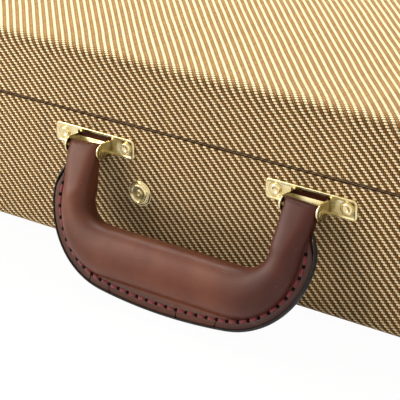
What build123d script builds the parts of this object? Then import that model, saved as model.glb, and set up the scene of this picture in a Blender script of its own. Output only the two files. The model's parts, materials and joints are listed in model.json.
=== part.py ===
"""Hard case for a bass guitar: a cloth-covered plywood box with a lid hinged along the back.

A leather handle hangs on two brass brackets in the middle of the front wall, below the
lid seam. Millimetres, +Z up. X runs along the case, the front wall faces -Y, and the
origin is the middle of the whole object's box, on the plane that the feet stand on.
"""
import os
from math import cos, pi, radians, sin

from build123d import *

os.makedirs("parts", exist_ok=True)

# Case, measured over the covering
case_length = 1200.0
case_width = 368.0
corner_radius = 30.0
edge_radius = 12.0
base_height = 85.4
lid_height = 40.0
seam_gap = 0.6

# Walls, panels and cloth
covering = 0.7
wall = 7.0
panel = 5.0
liner = 1.0
lip_thickness = 4.0
lip_rise = 6.0
lip_depth = 18.0

# Padding inside
floor_pad_thickness = 6.0
lid_pad_thickness = 14.0
pad_gap = 0.3
block_round = 5.0
lid_pad_round = 9.8

# Padding that leaves the bass's outline free: how thick it is, and how far its places are apart
tail_padding = 19.0
lower_bout_reach = 172.0
lower_bout_padding = 9.0
waist_padding = 49.0
upper_bout_padding = 25.0
horn_padding = 58.0
lower_bout_to_waist = 125.0
waist_to_upper_bout = 90.0
upper_bout_to_horn = 66.0
horn_to_shoulder = 35.0
shoulder_to_cradle = 126.0
neck_half = 36.0
block_split = 2.0

# Neck cradle, accessory pocket and head block
cradle_length = 40.0
cradle_notch_depth = 26.0
notch_round = 8.0
pocket_length = 268.0
pocket_wall = 4.0
pocket_clear = 12.0
head_block_length = 24.0

# Feet
foot_radius = 11.0
foot_height = 5.0
foot_inset = 60.0
spine_foot_radius = 13.0
spine_foot_height = 10.0
spine_foot_inset = 100.0
spine_foot_low = 22.0
spine_foot_high = 68.0
foot_round = 2.5
foot_screw_radius = 3.4
foot_shank_radius = 1.6
foot_recess = 2.0
screw_head_height = 1.2

# Handle brackets
handle_span = 146.0
bracket_drop = 14.9
bracket_length = 57.0
bracket_height = 12.2
bracket_plate = 1.4
bracket_corner = 2.6
bracket_rim = 1.5
bracket_rim_rise = 0.35
ear_spacing = 23.0
ear_thickness = 1.2
ear_round = 5.0
ear_set_back = 1.3
pivot_out = 10.5
pivot_low = 1.6
window_height = 8.0
bracket_rivet_x = 22.3
bracket_rivet_recess = 4.4
bracket_rivet_recess_depth = 0.5
bracket_rivet_head = 3.3
bracket_rivet_rise = 1.3
bracket_rivet_round = 1.04
bracket_rivet_shank = 1.75
washer_radius = 5.0
washer_thickness = 0.8

# Handle
handle_rest_angle = 21.7
handle_pin_radius = 1.5
handle_pin_head = 2.2
handle_pin_head_height = 0.5
handle_end_radius = 4.2
arm_lean = 3.5
arm_length = 26.5
grip_centre_depth = 54.1
grip_half_width = 15.5
grip_half_thickness = 11.0
grip_corner_share = 0.46
arm_half_width = 9.7
arm_half_thickness = 9.3
arm_section_shares = (0.0, 0.35, 0.7)
bend_steps = 5
leather = 2.0
flange_thickness = 3.2
binding_width = 2.2
binding_thickness = 4.0
flange_depth = 78.6
flange_reach = 15.3
flange_side_depth = 30.5
flange_bend_inset = 30.0
flange_crown = 2.8
flange_start = 10.5
flange_start_reach = 10.0

# Rivet and cup washer that hold the neck cradle
cup_rivet_drop = 41.0
cup_radius = 7.8
cup_ridge_foot = 6.5
cup_ridge = 5.3
cup_hollow = 3.9
cup_height = 2.6
cup_flange_height = 0.65
cup_hollow_height = 1.04
cup_floor_height = 0.78
cup_rivet_head = 2.6
cup_rivet_head_height = 1.05
cup_rivet_shank = 1.8
cup_rivet_depth = 12.0

# Latches: a lever on the base draws a bail down over a strike on the lid
outer_latch_inset = 130.0
inner_latch_inset = 370.0
lever_rest_angle = 30.0
bail_rest_angle = 15.0
lever_pivot_out = 5.2
lever_pivot_drop = 9.0
bail_pivot_in = 1.0
bail_pivot_drop = 9.0
latch_plate_width = 40.0
latch_plate_height = 55.0
latch_plate_top = 3.0
latch_plate_thickness = 1.0
latch_corner = 4.0
latch_rivet_x = 16.6
latch_rivet_edge = 5.0
latch_ear_x = 10.6
latch_ear_thickness = 1.2
latch_ear_radius = 2.6
lever_width = 25.0
lever_sheet = 1.0
lever_face_out = 3.0
lever_top = 2.0
lever_length = 31.0
lever_lip = 6.3
lever_lip_out = 2.6
lever_hub = 2.8
lever_back = 1.96
bail_hub = 2.3
bail_sheet = 1.2
bail_gap = 0.3
bail_height = 25.8
bail_plate_height = 7.8
tooth_thickness = 1.5
tooth_reach = 2.6
pin_radius = 1.25
pin_head_radius = 1.9
pin_head_height = 0.6
strike_width = 22.0
strike_bottom = 1.5
strike_top = 16.0
strike_thickness = 1.0
ledge_reach = 2.3
ledge_thickness = 1.8
ledge_clearance = 0.3
strike_rivet_x = 6.5
strike_rivet_rise = 11.5

# Key plug in one lever
plug_along = 20.0
plug_radius = 4.5
plug_head = 5.5
plug_head_height = 0.9
plug_stem_radius = 2.5
cam_length = 15.0
cam_width = 3.0
cam_thickness = 0.8
key_slot_width = 1.0
key_slot_length = 6.0
keeper_height = 6.0
keeper_inner = 5.5
keeper_outer = 9.5

# Hinges on the back wall
hinge_inset = 170.0
hinge_width = 56.0
hinge_leaf_height = 24.0
hinge_sheet = 1.5
hinge_corner = 4.0
knuckle_radius = 3.0
knuckle_count = 5
knuckle_gap = 0.4
knuckle_lift = 0.3
hinge_pin_radius = 1.5
hinge_pin_head = 2.4
hinge_pin_head_height = 0.8
hinge_rivet_x = 19.0
hinge_rivet_along = 15.5

# Small rivets and running clearance
rivet_head = 2.3
rivet_rise = 1.0
rivet_shank = 1.2
rivet_taper = 20.0
fit = 0.05

# Levels and planes that follow from the sizes above
ear_round_out = pivot_out - ear_set_back
pivot_drop = bracket_drop + pivot_low
rest = radians(handle_rest_angle)
grip_corner = 2 * grip_half_thickness * grip_corner_share
grip_low = grip_centre_depth + grip_half_width - grip_corner
front_reach = pivot_out + grip_low * sin(rest) + (grip_half_thickness - grip_corner) * cos(rest) + grip_corner
rear_reach = spine_foot_height
mid_y = (front_reach - rear_reach) / 2
front_y = mid_y - case_width / 2
rear_y = mid_y + case_width / 2
base_bottom = foot_height
seam_z = base_bottom + base_height
base_rim = seam_z - seam_gap / 2
lid_rim = seam_z + seam_gap / 2
lid_top = seam_z + lid_height
base_floor = base_bottom + covering + panel
lid_ceiling = lid_top - covering - panel
skin = covering + wall
inner_length = case_length - 2 * skin
inner_width = case_width - 2 * skin
inner_corner = corner_radius - skin
lined_length = inner_length - 2 * liner
lined_width = inner_width - 2 * liner
lined_corner = inner_corner - liner
pad_top = base_floor + floor_pad_thickness
block_top = base_rim - lip_depth - pad_gap
half_room = lined_width / 2 - pad_gap
end_room = lined_length / 2 - pad_gap
block_height = block_top - pad_top - pad_gap
lower_bout_x = end_room - tail_padding - lower_bout_reach
waist_x = lower_bout_x - lower_bout_to_waist
upper_bout_x = waist_x - waist_to_upper_bout
horn_x = upper_bout_x - upper_bout_to_horn
shoulder_x = horn_x - horn_to_shoulder
cradle_x = shoulder_x - shoulder_to_cradle
lower_bout_half = half_room - lower_bout_padding
waist_half = half_room - waist_padding
upper_bout_half = half_room - upper_bout_padding
horn_half = half_room - horn_padding
outer_latch_x = case_length / 2 - outer_latch_inset
inner_latch_x = case_length / 2 - inner_latch_inset
latch_places = (-outer_latch_x, -inner_latch_x, inner_latch_x, outer_latch_x)
lock_x = inner_latch_x
hinge_places = (hinge_inset - case_length / 2, 0, case_length / 2 - hinge_inset)
spine_foot_x = case_length / 2 - spine_foot_inset
flange_half = handle_span / 2 + flange_reach
flange_bend_x = handle_span / 2 - flange_bend_inset
flange_start_x = handle_span / 2 + flange_start_reach
block_foot = pad_top + pad_gap
front_plane = Plane(origin=(0, front_y, seam_z), x_dir=(1, 0, 0), z_dir=(0, -1, 0))
rear_plane = Plane(origin=(0, rear_y, seam_z), x_dir=(-1, 0, 0), z_dir=(0, 1, 0))


def level(z):
    """A horizontal plane at height z, centred on the case."""
    return Plane(origin=(0, mid_y, z))


def side_plane(x):
    """A plane across the front wall at x: its own x runs outwards, its own y upwards from the seam."""
    return Plane(origin=(x, front_y, seam_z), x_dir=(0, -1, 0), z_dir=(-1, 0, 0))


# Plywood trays, before each is parted into a wall frame and a panel
with BuildPart() as base_wood:
    with BuildSketch(level(base_bottom + covering)):
        RectangleRounded(case_length - 2 * covering, case_width - 2 * covering, corner_radius - covering)
    extrude(amount=base_rim - base_bottom - covering)
    fillet(base_wood.edges().group_by(Axis.Z)[0], edge_radius - covering)

with BuildPart() as lid_wood:
    with BuildSketch(level(lid_rim)):
        RectangleRounded(case_length - 2 * covering, case_width - 2 * covering, corner_radius - covering)
    extrude(amount=lid_top - covering - lid_rim)
    fillet(lid_wood.edges().group_by(Axis.Z)[-1], edge_radius - covering)

bracket_centres = (-handle_span / 2, handle_span / 2)
bracket_rivet_pairs = [
    [(centre + side * bracket_rivet_x, -bracket_drop) for side in (-1, 1)] for centre in bracket_centres
]
bracket_rivet_places = bracket_rivet_pairs[0] + bracket_rivet_pairs[1]
cup_place = (cradle_x, -cup_rivet_drop)
cup_places = ((front_plane, cup_place), (rear_plane, (-cradle_x, -cup_rivet_drop)))

# Base: wall frame, bottom panel, covering, liner, lip and feet
with BuildPart() as base_frame:
    add(base_wood.part)
    with BuildSketch(level(base_floor)):
        RectangleRounded(inner_length, inner_width, inner_corner)
    extrude(amount=base_height, mode=Mode.SUBTRACT)
    split(bisect_by=Plane.XY.offset(base_floor), keep=Keep.TOP)
    with BuildSketch(front_plane.offset(-covering)):
        with Locations(*bracket_rivet_places):
            Circle(bracket_rivet_shank + fit)
    extrude(amount=-wall, mode=Mode.SUBTRACT)
    with BuildSketch(front_plane.offset(-skin)):
        with Locations(*bracket_rivet_places):
            Circle(washer_radius + fit)
    extrude(amount=washer_thickness, mode=Mode.SUBTRACT)
    for face, place in cup_places:
        with BuildSketch(face.offset(-covering)):
            with Locations(place):
                Circle(cup_rivet_shank + fit)
        extrude(amount=-wall, mode=Mode.SUBTRACT)
base_frame.part.label = "base_frame"
export_step(base_frame.part, "parts/base_frame.step")

with BuildPart() as base_panel:
    add(base_wood.part)
    split(bisect_by=Plane.XY.offset(base_floor), keep=Keep.BOTTOM)
base_panel.part.label = "base_panel"
export_step(base_panel.part, "parts/base_panel.step")

with BuildPart() as base_covering:
    with BuildSketch(level(base_bottom)):
        RectangleRounded(case_length, case_width, corner_radius)
    extrude(amount=base_rim - base_bottom)
    fillet(base_covering.edges().group_by(Axis.Z)[0], edge_radius)
    add(base_wood.part, mode=Mode.SUBTRACT)
    with BuildSketch(front_plane):
        with Locations(*bracket_rivet_places):
            Circle(bracket_rivet_shank + fit)
    extrude(amount=-covering, mode=Mode.SUBTRACT)
    for face, place in cup_places:
        with BuildSketch(face):
            with Locations(place):
                Circle(cup_rivet_shank + fit)
        extrude(amount=-covering, mode=Mode.SUBTRACT)
base_covering.part.label = "base_covering"
export_step(base_covering.part, "parts/base_covering.step")

with BuildPart() as base_liner:
    with BuildSketch(level(base_floor)):
        RectangleRounded(inner_length, inner_width, inner_corner)
        RectangleRounded(lined_length, lined_width, lined_corner, mode=Mode.SUBTRACT)
    extrude(amount=base_rim - base_floor)
    for face, place in cup_places:
        with BuildSketch(face.offset(-skin)):
            with Locations(place):
                Circle(cup_rivet_shank + fit)
        extrude(amount=-liner, mode=Mode.SUBTRACT)
base_liner.part.label = "base_liner"
export_step(base_liner.part, "parts/base_liner.step")

with BuildPart() as rim_lip:
    with BuildSketch(level(base_rim - lip_depth)):
        RectangleRounded(lined_length, lined_width, lined_corner)
        RectangleRounded(
            lined_length - 2 * lip_thickness,
            lined_width - 2 * lip_thickness,
            lined_corner - lip_thickness,
            mode=Mode.SUBTRACT,
        )
    extrude(amount=lip_depth + lip_rise)
    chamfer(rim_lip.edges().group_by(Axis.Z)[-1], lip_thickness / 4)
rim_lip.part.label = "rim_lip"
export_step(rim_lip.part, "parts/rim_lip.step")

foot_x = case_length / 2 - foot_inset
foot_y = case_width / 2 - foot_inset
with BuildPart() as bottom_feet:
    with BuildSketch(level(base_bottom)):
        with GridLocations(2 * foot_x, 2 * foot_y, 2, 2):
            Circle(foot_radius)
    extrude(amount=-foot_height)
    fillet(bottom_feet.edges().group_by(Axis.Z)[0], foot_round)
    with BuildSketch(level(0)):
        with GridLocations(2 * foot_x, 2 * foot_y, 2, 2):
            Circle(foot_screw_radius + fit)
    extrude(amount=foot_recess, mode=Mode.SUBTRACT)
    with BuildSketch(level(0)):
        with GridLocations(2 * foot_x, 2 * foot_y, 2, 2):
            Circle(foot_shank_radius + fit)
    extrude(amount=foot_height, mode=Mode.SUBTRACT)
bottom_feet.part.label = "bottom_feet"
export_step(bottom_feet.part, "parts/bottom_feet.step")

with BuildPart() as bottom_foot_screws:
    with BuildSketch(level(foot_recess)):
        with GridLocations(2 * foot_x, 2 * foot_y, 2, 2):
            Circle(foot_screw_radius)
    extrude(amount=-screw_head_height)
    with BuildSketch(level(foot_recess)):
        with GridLocations(2 * foot_x, 2 * foot_y, 2, 2):
            Circle(foot_shank_radius)
    extrude(amount=foot_height - foot_recess)
bottom_foot_screws.part.label = "bottom_foot_screws"
export_step(bottom_foot_screws.part, "parts/bottom_foot_screws.step")

spine_foot_places = [
    (side * spine_foot_x, height - base_height)
    for side in (-1, 1)
    for height in (spine_foot_low, spine_foot_high)
]
with BuildPart() as spine_feet:
    with BuildSketch(rear_plane):
        with Locations(*spine_foot_places):
            Circle(spine_foot_radius)
    extrude(amount=spine_foot_height)
    fillet(spine_feet.edges().group_by(Axis.Y)[-1], foot_round)
    with BuildSketch(rear_plane.offset(spine_foot_height)):
        with Locations(*spine_foot_places):
            Circle(foot_screw_radius + fit)
    extrude(amount=-foot_recess, mode=Mode.SUBTRACT)
    with BuildSketch(rear_plane.offset(spine_foot_height)):
        with Locations(*spine_foot_places):
            Circle(foot_shank_radius + fit)
    extrude(amount=-spine_foot_height, mode=Mode.SUBTRACT)
spine_feet.part.label = "spine_feet"
export_step(spine_feet.part, "parts/spine_feet.step")

with BuildPart() as spine_foot_screws:
    with BuildSketch(rear_plane.offset(spine_foot_height - foot_recess)):
        with Locations(*spine_foot_places):
            Circle(foot_screw_radius)
    extrude(amount=screw_head_height)
    with BuildSketch(rear_plane.offset(spine_foot_height - foot_recess)):
        with Locations(*spine_foot_places):
            Circle(foot_shank_radius)
    extrude(amount=foot_recess - spine_foot_height)
spine_foot_screws.part.label = "spine_foot_screws"
export_step(spine_foot_screws.part, "parts/spine_foot_screws.step")

# Padding in the base
with BuildPart() as floor_pad:
    with BuildSketch(level(base_floor)):
        RectangleRounded(2 * end_room, 2 * half_room, lined_corner)
    extrude(amount=floor_pad_thickness)
    fillet(floor_pad.edges().group_by(Axis.Z)[-1], floor_pad_thickness / 2)
floor_pad.part.label = "floor_pad"
export_step(floor_pad.part, "parts/floor_pad.step")

for name, side in (("side_block_front", -1), ("side_block_rear", 1)):
    with BuildPart() as side_block:
        with BuildSketch(level(block_foot)):
            with BuildLine():
                bouts = Spline(
                    (shoulder_x, side * (neck_half + block_round)),
                    (horn_x, side * horn_half),
                    (upper_bout_x, side * upper_bout_half),
                    (waist_x, side * waist_half),
                    (lower_bout_x, side * lower_bout_half),
                )
                Polyline(
                    bouts @ 1,
                    (lower_bout_x, side * half_room),
                    (shoulder_x, side * half_room),
                    bouts @ 0,
                )
            make_face()
        extrude(amount=block_height)
    side_block.part.label = name
    export_step(side_block.part, f"parts/{name}.step")

with BuildPart() as tail_block:
    with BuildSketch(level(block_foot)):
        with BuildLine():
            Polyline(
                (lower_bout_x + block_split, -half_room),
                (end_room - lined_corner, -half_room),
            )
            RadiusArc(
                (end_room - lined_corner, -half_room),
                (end_room, -half_room + lined_corner),
                -lined_corner,
            )
            Line((end_room, -half_room + lined_corner), (end_room, half_room - lined_corner))
            RadiusArc(
                (end_room, half_room - lined_corner),
                (end_room - lined_corner, half_room),
                -lined_corner,
            )
            Polyline(
                (end_room - lined_corner, half_room),
                (lower_bout_x + block_split, half_room),
                (lower_bout_x + block_split, -half_room),
            )
        make_face()
        with Locations((lower_bout_x, 0)):
            Ellipse(lower_bout_reach, lower_bout_half, mode=Mode.SUBTRACT)
    extrude(amount=block_height)
tail_block.part.label = "tail_block"
export_step(tail_block.part, "parts/tail_block.step")

cradle_hole = cup_rivet_depth - liner
with BuildPart() as neck_cradle:
    with BuildSketch(Plane(origin=(cradle_x, mid_y, 0), x_dir=(0, 1, 0), z_dir=(1, 0, 0))):
        with Locations((0, block_foot + block_height / 2)):
            Rectangle(2 * half_room, block_height)
        with Locations((0, block_top - cradle_notch_depth / 2 + block_round)):
            RectangleRounded(
                2 * neck_half, cradle_notch_depth + 2 * block_round, notch_round, mode=Mode.SUBTRACT
            )
    extrude(amount=cradle_length / 2, both=True)
    fillet(neck_cradle.edges().group_by(Axis.Z)[-1].filter_by(Axis.Y), block_round)
    for face, place in cup_places:
        with BuildSketch(face.offset(-skin - liner)):
            with Locations(place):
                Circle(cup_rivet_shank + fit)
        extrude(amount=-cradle_hole, mode=Mode.SUBTRACT)
neck_cradle.part.label = "neck_cradle"
export_step(neck_cradle.part, "parts/neck_cradle.step")

pocket_right = cradle_x - cradle_length / 2 - pad_gap
pocket_left = pocket_right - pocket_length
pocket_front = neck_half + pocket_clear
with BuildPart() as pocket_walls:
    with BuildSketch(level(block_foot)):
        with BuildLine():
            Polyline(
                (pocket_right, pocket_front),
                (pocket_left, pocket_front),
                (pocket_left, half_room),
                (pocket_left + pocket_wall, half_room),
                (pocket_left + pocket_wall, pocket_front + pocket_wall),
                (pocket_right, pocket_front + pocket_wall),
                (pocket_right, pocket_front),
            )
        make_face()
    extrude(amount=block_height)
pocket_walls.part.label = "pocket_walls"
export_step(pocket_walls.part, "parts/pocket_walls.step")

with BuildPart() as head_block:
    with BuildSketch(level(block_foot)):
        RectangleRounded(2 * end_room, 2 * half_room, lined_corner)
        with Locations((head_block_length, 0)):
            Rectangle(2 * end_room, 2 * half_room, mode=Mode.SUBTRACT)
    extrude(amount=block_height)
head_block.part.label = "head_block"
export_step(head_block.part, "parts/head_block.step")

# Brass brackets that carry the handle
for name, centre, rivet_pair in zip(("bracket_left", "bracket_right"), bracket_centres, bracket_rivet_pairs):
    with BuildPart() as bracket:
        with BuildSketch(front_plane):
            with Locations((centre, -bracket_drop)):
                RectangleRounded(bracket_length, bracket_height, bracket_corner)
        extrude(amount=bracket_plate)
        with BuildSketch(front_plane.offset(bracket_plate)):
            with Locations((centre, -bracket_drop)):
                RectangleRounded(
                    bracket_length - 2 * bracket_rim,
                    bracket_height - 2 * bracket_rim,
                    bracket_corner - bracket_rim / 2,
                )
        extrude(amount=-bracket_rim_rise, mode=Mode.SUBTRACT)
        with BuildSketch(front_plane.offset(bracket_plate - bracket_rim_rise)):
            with Locations(*rivet_pair):
                Circle(bracket_rivet_recess)
        extrude(amount=-bracket_rivet_recess_depth, mode=Mode.SUBTRACT)
        with BuildSketch(front_plane):
            with Locations(*rivet_pair):
                Circle(bracket_rivet_shank + fit)
            with Locations((centre, -bracket_drop)):
                Rectangle(ear_spacing - ear_thickness, window_height)
        extrude(amount=bracket_plate, mode=Mode.SUBTRACT)
        for side in (-1, 1):
            with BuildSketch(side_plane(centre + side * ear_spacing / 2)):
                with Locations((bracket_plate / 2, -bracket_drop)):
                    Rectangle(bracket_plate, bracket_height)
                with Locations((ear_round_out, -pivot_drop)):
                    Circle(ear_round)
                make_hull()
                with Locations((pivot_out, -pivot_drop)):
                    Circle(handle_pin_radius + fit, mode=Mode.SUBTRACT)
            extrude(amount=ear_thickness / 2, both=True)
    bracket.part.label = name
    export_step(bracket.part, f"parts/{name}.step")

rivet_seat = bracket_plate - bracket_rim_rise - bracket_rivet_recess_depth
with BuildPart() as bracket_rivets:
    with BuildSketch(front_plane.offset(rivet_seat)):
        with Locations(*bracket_rivet_places):
            Circle(bracket_rivet_head)
    extrude(amount=bracket_rivet_rise)
    fillet(bracket_rivets.edges().group_by(Axis.Y)[0], bracket_rivet_round)
    with BuildSketch(front_plane.offset(rivet_seat)):
        with Locations(*bracket_rivet_places):
            Circle(bracket_rivet_shank)
    extrude(amount=-rivet_seat - skin)
bracket_rivets.part.label = "bracket_rivets"
export_step(bracket_rivets.part, "parts/bracket_rivets.step")

with BuildPart() as bracket_washers:
    with BuildSketch(front_plane.offset(-skin)):
        with Locations(*bracket_rivet_places):
            Circle(washer_radius)
            Circle(bracket_rivet_shank + fit, mode=Mode.SUBTRACT)
    extrude(amount=washer_thickness)
bracket_washers.part.label = "bracket_washers"
export_step(bracket_washers.part, "parts/bracket_washers.step")

# Cup washers and rivets of the neck cradle, one pair through each long wall
with BuildPart() as cup_washers:
    for face, place in cup_places:
        axis = face.from_local_coords(place + (0,))
        across = Plane(origin=axis, x_dir=(1, 0, 0), z_dir=(0, 0, 1))
        outwards = face.z_dir.Y
        with BuildSketch(across):
            with BuildLine():
                Polyline(
                    (cup_rivet_shank + fit, 0),
                    (cup_radius, 0),
                    (cup_radius, outwards * cup_flange_height),
                    (cup_ridge_foot, outwards * cup_flange_height),
                )
                ThreePointArc(
                    (cup_ridge_foot, outwards * cup_flange_height),
                    (cup_ridge, outwards * cup_height),
                    (cup_hollow, outwards * cup_hollow_height),
                )
                Polyline(
                    (cup_hollow, outwards * cup_hollow_height),
                    (cup_rivet_shank + fit, outwards * cup_floor_height),
                    (cup_rivet_shank + fit, 0),
                )
            make_face()
        revolve(axis=Axis(axis, (0, 1, 0)))
cup_washers.part.label = "cup_washers"
export_step(cup_washers.part, "parts/cup_washers.step")

cup_seat = cup_floor_height + (cup_hollow_height - cup_floor_height) * (
    (cup_rivet_head - cup_rivet_shank) / (cup_hollow - cup_rivet_shank)
)
with BuildPart() as cradle_rivets:
    for face, place in cup_places:
        with BuildSketch(face.offset(cup_seat)):
            with Locations(place):
                Circle(cup_rivet_head)
        extrude(amount=cup_rivet_head_height)
        with BuildSketch(face.offset(cup_seat)):
            with Locations(place):
                Circle(cup_rivet_shank)
        extrude(amount=-cup_seat - skin - cup_rivet_depth)
cradle_rivets.part.label = "cradle_rivets"
export_step(cradle_rivets.part, "parts/cradle_rivets.step")

# Handle: a stiff core in a leather cover, with a stitched flange and a bound edge
handle_plane = Plane(
    origin=(0, front_y - pivot_out, seam_z - pivot_drop),
    x_dir=(1, 0, 0),
    z_dir=(0, cos(rest), -sin(rest)),
)
lean = radians(arm_lean)
arm_end_x = handle_span / 2 - arm_length * sin(lean)
arm_end_depth = arm_length * cos(lean)
bend_radius = (grip_centre_depth - arm_end_depth) / (1 - sin(lean))
bend_x = arm_end_x - bend_radius * cos(lean)
bend_depth = arm_end_depth - bend_radius * sin(lean)


def section_plane(x, depth, turn, side):
    """The plane square to the grip's centre line: its own x points out of the loop."""
    out = handle_plane.x_dir * (side * cos(turn)) + handle_plane.y_dir * sin(turn)
    along = handle_plane.x_dir * -sin(turn) + handle_plane.y_dir * (side * cos(turn))
    return Plane(origin=handle_plane.from_local_coords((x, depth, 0)), x_dir=out, z_dir=along)


def grip_sections(skin_in):
    """Planes, widths and thicknesses of the grip from end to end, skin_in under the leather."""
    half = []
    for share in arm_section_shares:
        along = share * arm_length
        thick = handle_end_radius + share * (arm_half_thickness - handle_end_radius)
        half.append((handle_span / 2 - along * sin(lean), along * cos(lean), lean, arm_half_width, thick))
    for step in range(bend_steps + 1):
        share = step / bend_steps
        turn = lean + share * (pi / 2 - lean)
        wide = arm_half_width + share * (grip_half_width - arm_half_width)
        thick = arm_half_thickness + share * (grip_half_thickness - arm_half_thickness)
        place = (bend_x + bend_radius * cos(turn), bend_depth + bend_radius * sin(turn))
        half.append((*place, turn, wide, thick))
    middle = [(0.0, grip_centre_depth, pi / 2, grip_half_width, grip_half_thickness)]
    rows = [(x, depth, turn, 1, wide, thick) for x, depth, turn, wide, thick in half + middle]
    rows += [(-x, depth, turn, -1, wide, thick) for x, depth, turn, wide, thick in reversed(half)]
    return [
        (section_plane(x, depth, turn, side), 2 * (wide - skin_in), 2 * (thick - skin_in))
        for x, depth, turn, side, wide, thick in rows
    ]


def pin_plane(x):
    """The plane square to the handle's pins, through the pivot line."""
    return Plane(origin=(x, front_y - pivot_out, seam_z - pivot_drop), x_dir=(0, -1, 0), z_dir=(1, 0, 0))


with BuildPart() as grip_core:
    for place, wide, thick in grip_sections(leather):
        with BuildSketch(place):
            RectangleRounded(wide, thick, thick * grip_corner_share)
    loft()
    for centre in bracket_centres:
        with BuildSketch(pin_plane(centre)):
            Circle(handle_end_radius - leather)
        extrude(amount=arm_half_width - leather, both=True)
    with BuildSketch(pin_plane(0)):
        Circle(handle_pin_radius + fit)
    extrude(amount=handle_span, both=True, mode=Mode.SUBTRACT)
grip_core.part.label = "grip_core"
export_step(grip_core.part, "parts/grip_core.step")

flange_low = flange_depth - flange_crown
with BuildSketch() as flange_face:
    with BuildLine():
        crown = ThreePointArc((-flange_bend_x, flange_low), (0, flange_depth), (flange_bend_x, flange_low))
        right = TangentArc(crown @ 1, (flange_half, flange_side_depth), tangent=crown % 1)
        right_top = TangentArc(right @ 1, (flange_start_x, flange_start), tangent=right % 1)
        left = TangentArc(crown @ 0, (-flange_half, flange_side_depth), tangent=-(crown % 0))
        left_top = TangentArc(left @ 1, (-flange_start_x, flange_start), tangent=left % 1)
        Line(right_top @ 1, left_top @ 1)
    make_face()

with BuildSketch() as flange_inner:
    add(flange_face.sketch)
    offset(amount=-binding_width)

with BuildPart() as edge_binding:
    with BuildSketch(handle_plane):
        add(flange_face.sketch)
        add(flange_inner.sketch, mode=Mode.SUBTRACT)
        with Locations((0, flange_start)):
            Rectangle(4 * flange_half, 4 * binding_width, mode=Mode.SUBTRACT)
    extrude(amount=binding_thickness / 2, both=True)
edge_binding.part.label = "edge_binding"
export_step(edge_binding.part, "parts/edge_binding.step")

loop_height = 4 * flange_depth
with BuildPart() as grip_cover:
    for place, wide, thick in grip_sections(0):
        with BuildSketch(place):
            RectangleRounded(wide, thick, thick * grip_corner_share)
    loft()
    for centre in bracket_centres:
        with BuildSketch(pin_plane(centre)):
            Circle(handle_end_radius)
        extrude(amount=arm_half_width, both=True)
    with BuildSketch(handle_plane):
        add(flange_inner.sketch)
        with Locations((0, grip_centre_depth - loop_height / 2)):
            RectangleRounded(2 * arm_end_x, loop_height, bend_radius, mode=Mode.SUBTRACT)
        with Locations((0, flange_start)):
            Rectangle(4 * flange_half, 4 * binding_width, mode=Mode.SUBTRACT)
    extrude(amount=flange_thickness / 2, both=True)
    add(grip_core.part, mode=Mode.SUBTRACT)
    with BuildSketch(pin_plane(0)):
        Circle(handle_pin_radius + fit)
    extrude(amount=handle_span, both=True, mode=Mode.SUBTRACT)
grip_cover.part.label = "grip_cover"
export_step(grip_cover.part, "parts/grip_cover.step")

ear_outside = (ear_spacing + ear_thickness) / 2
with BuildPart() as handle_pins:
    for centre in bracket_centres:
        with BuildSketch(pin_plane(centre)):
            Circle(handle_pin_radius)
        extrude(amount=ear_outside, both=True)
        for side in (-1, 1):
            with BuildSketch(pin_plane(centre + side * ear_outside)):
                Circle(handle_pin_head)
            extrude(amount=side * handle_pin_head_height)
handle_pins.part.label = "handle_pins"
export_step(handle_pins.part, "parts/handle_pins.step")

# Latches: fixed plates with ears, and small stub pins that the levers turn on
latch_ear_in = latch_ear_x - latch_ear_thickness / 2
latch_ear_out = latch_ear_x + latch_ear_thickness / 2
lever_pivot = (lever_pivot_out, -lever_pivot_drop)
latch_rivet_places = [
    (x + side * latch_rivet_x, -latch_plate_top - edge)
    for x in latch_places
    for side in (-1, 1)
    for edge in (latch_rivet_edge, latch_plate_height - latch_rivet_edge)
]
keeper_middle = -lever_pivot_drop - plug_along
keeper_out = lever_pivot_out - cam_thickness - pin_radius
with BuildPart() as latch_plates:
    with BuildSketch(front_plane):
        with Locations(*[(x, -latch_plate_top - latch_plate_height / 2) for x in latch_places]):
            RectangleRounded(latch_plate_width, latch_plate_height, latch_corner)
        with Locations(*latch_rivet_places):
            Circle(rivet_shank + fit, mode=Mode.SUBTRACT)
    extrude(amount=latch_plate_thickness)
    for x in latch_places:
        for side in (-1, 1):
            with BuildSketch(side_plane(x + side * latch_ear_x)):
                with Locations((lever_pivot_out / 2, -lever_pivot_drop)):
                    Rectangle(lever_pivot_out, 2 * latch_ear_radius)
                with Locations(lever_pivot):
                    Circle(latch_ear_radius)
                    Circle(pin_radius + fit, mode=Mode.SUBTRACT)
            extrude(amount=latch_ear_thickness / 2, both=True)
    with BuildSketch(front_plane):
        with Locations((lock_x + keeper_outer - latch_plate_thickness / 2, keeper_middle)):
            Rectangle(latch_plate_thickness, keeper_height)
    extrude(amount=keeper_out + latch_plate_thickness)
    with BuildSketch(front_plane.offset(keeper_out)):
        with Locations((lock_x + (keeper_inner + keeper_outer) / 2, keeper_middle)):
            Rectangle(keeper_outer - keeper_inner, keeper_height)
    extrude(amount=latch_plate_thickness)
latch_plates.part.label = "latch_plates"
export_step(latch_plates.part, "parts/latch_plates.step")

with BuildPart() as latch_rivets:
    with BuildSketch(front_plane.offset(latch_plate_thickness)):
        with Locations(*latch_rivet_places):
            Circle(rivet_head)
    extrude(amount=rivet_rise, taper=rivet_taper)
    with BuildSketch(front_plane.offset(latch_plate_thickness)):
        with Locations(*latch_rivet_places):
            Circle(rivet_shank)
    extrude(amount=-latch_plate_thickness)
latch_rivets.part.label = "latch_rivets"
export_step(latch_rivets.part, "parts/latch_rivets.step")

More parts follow.
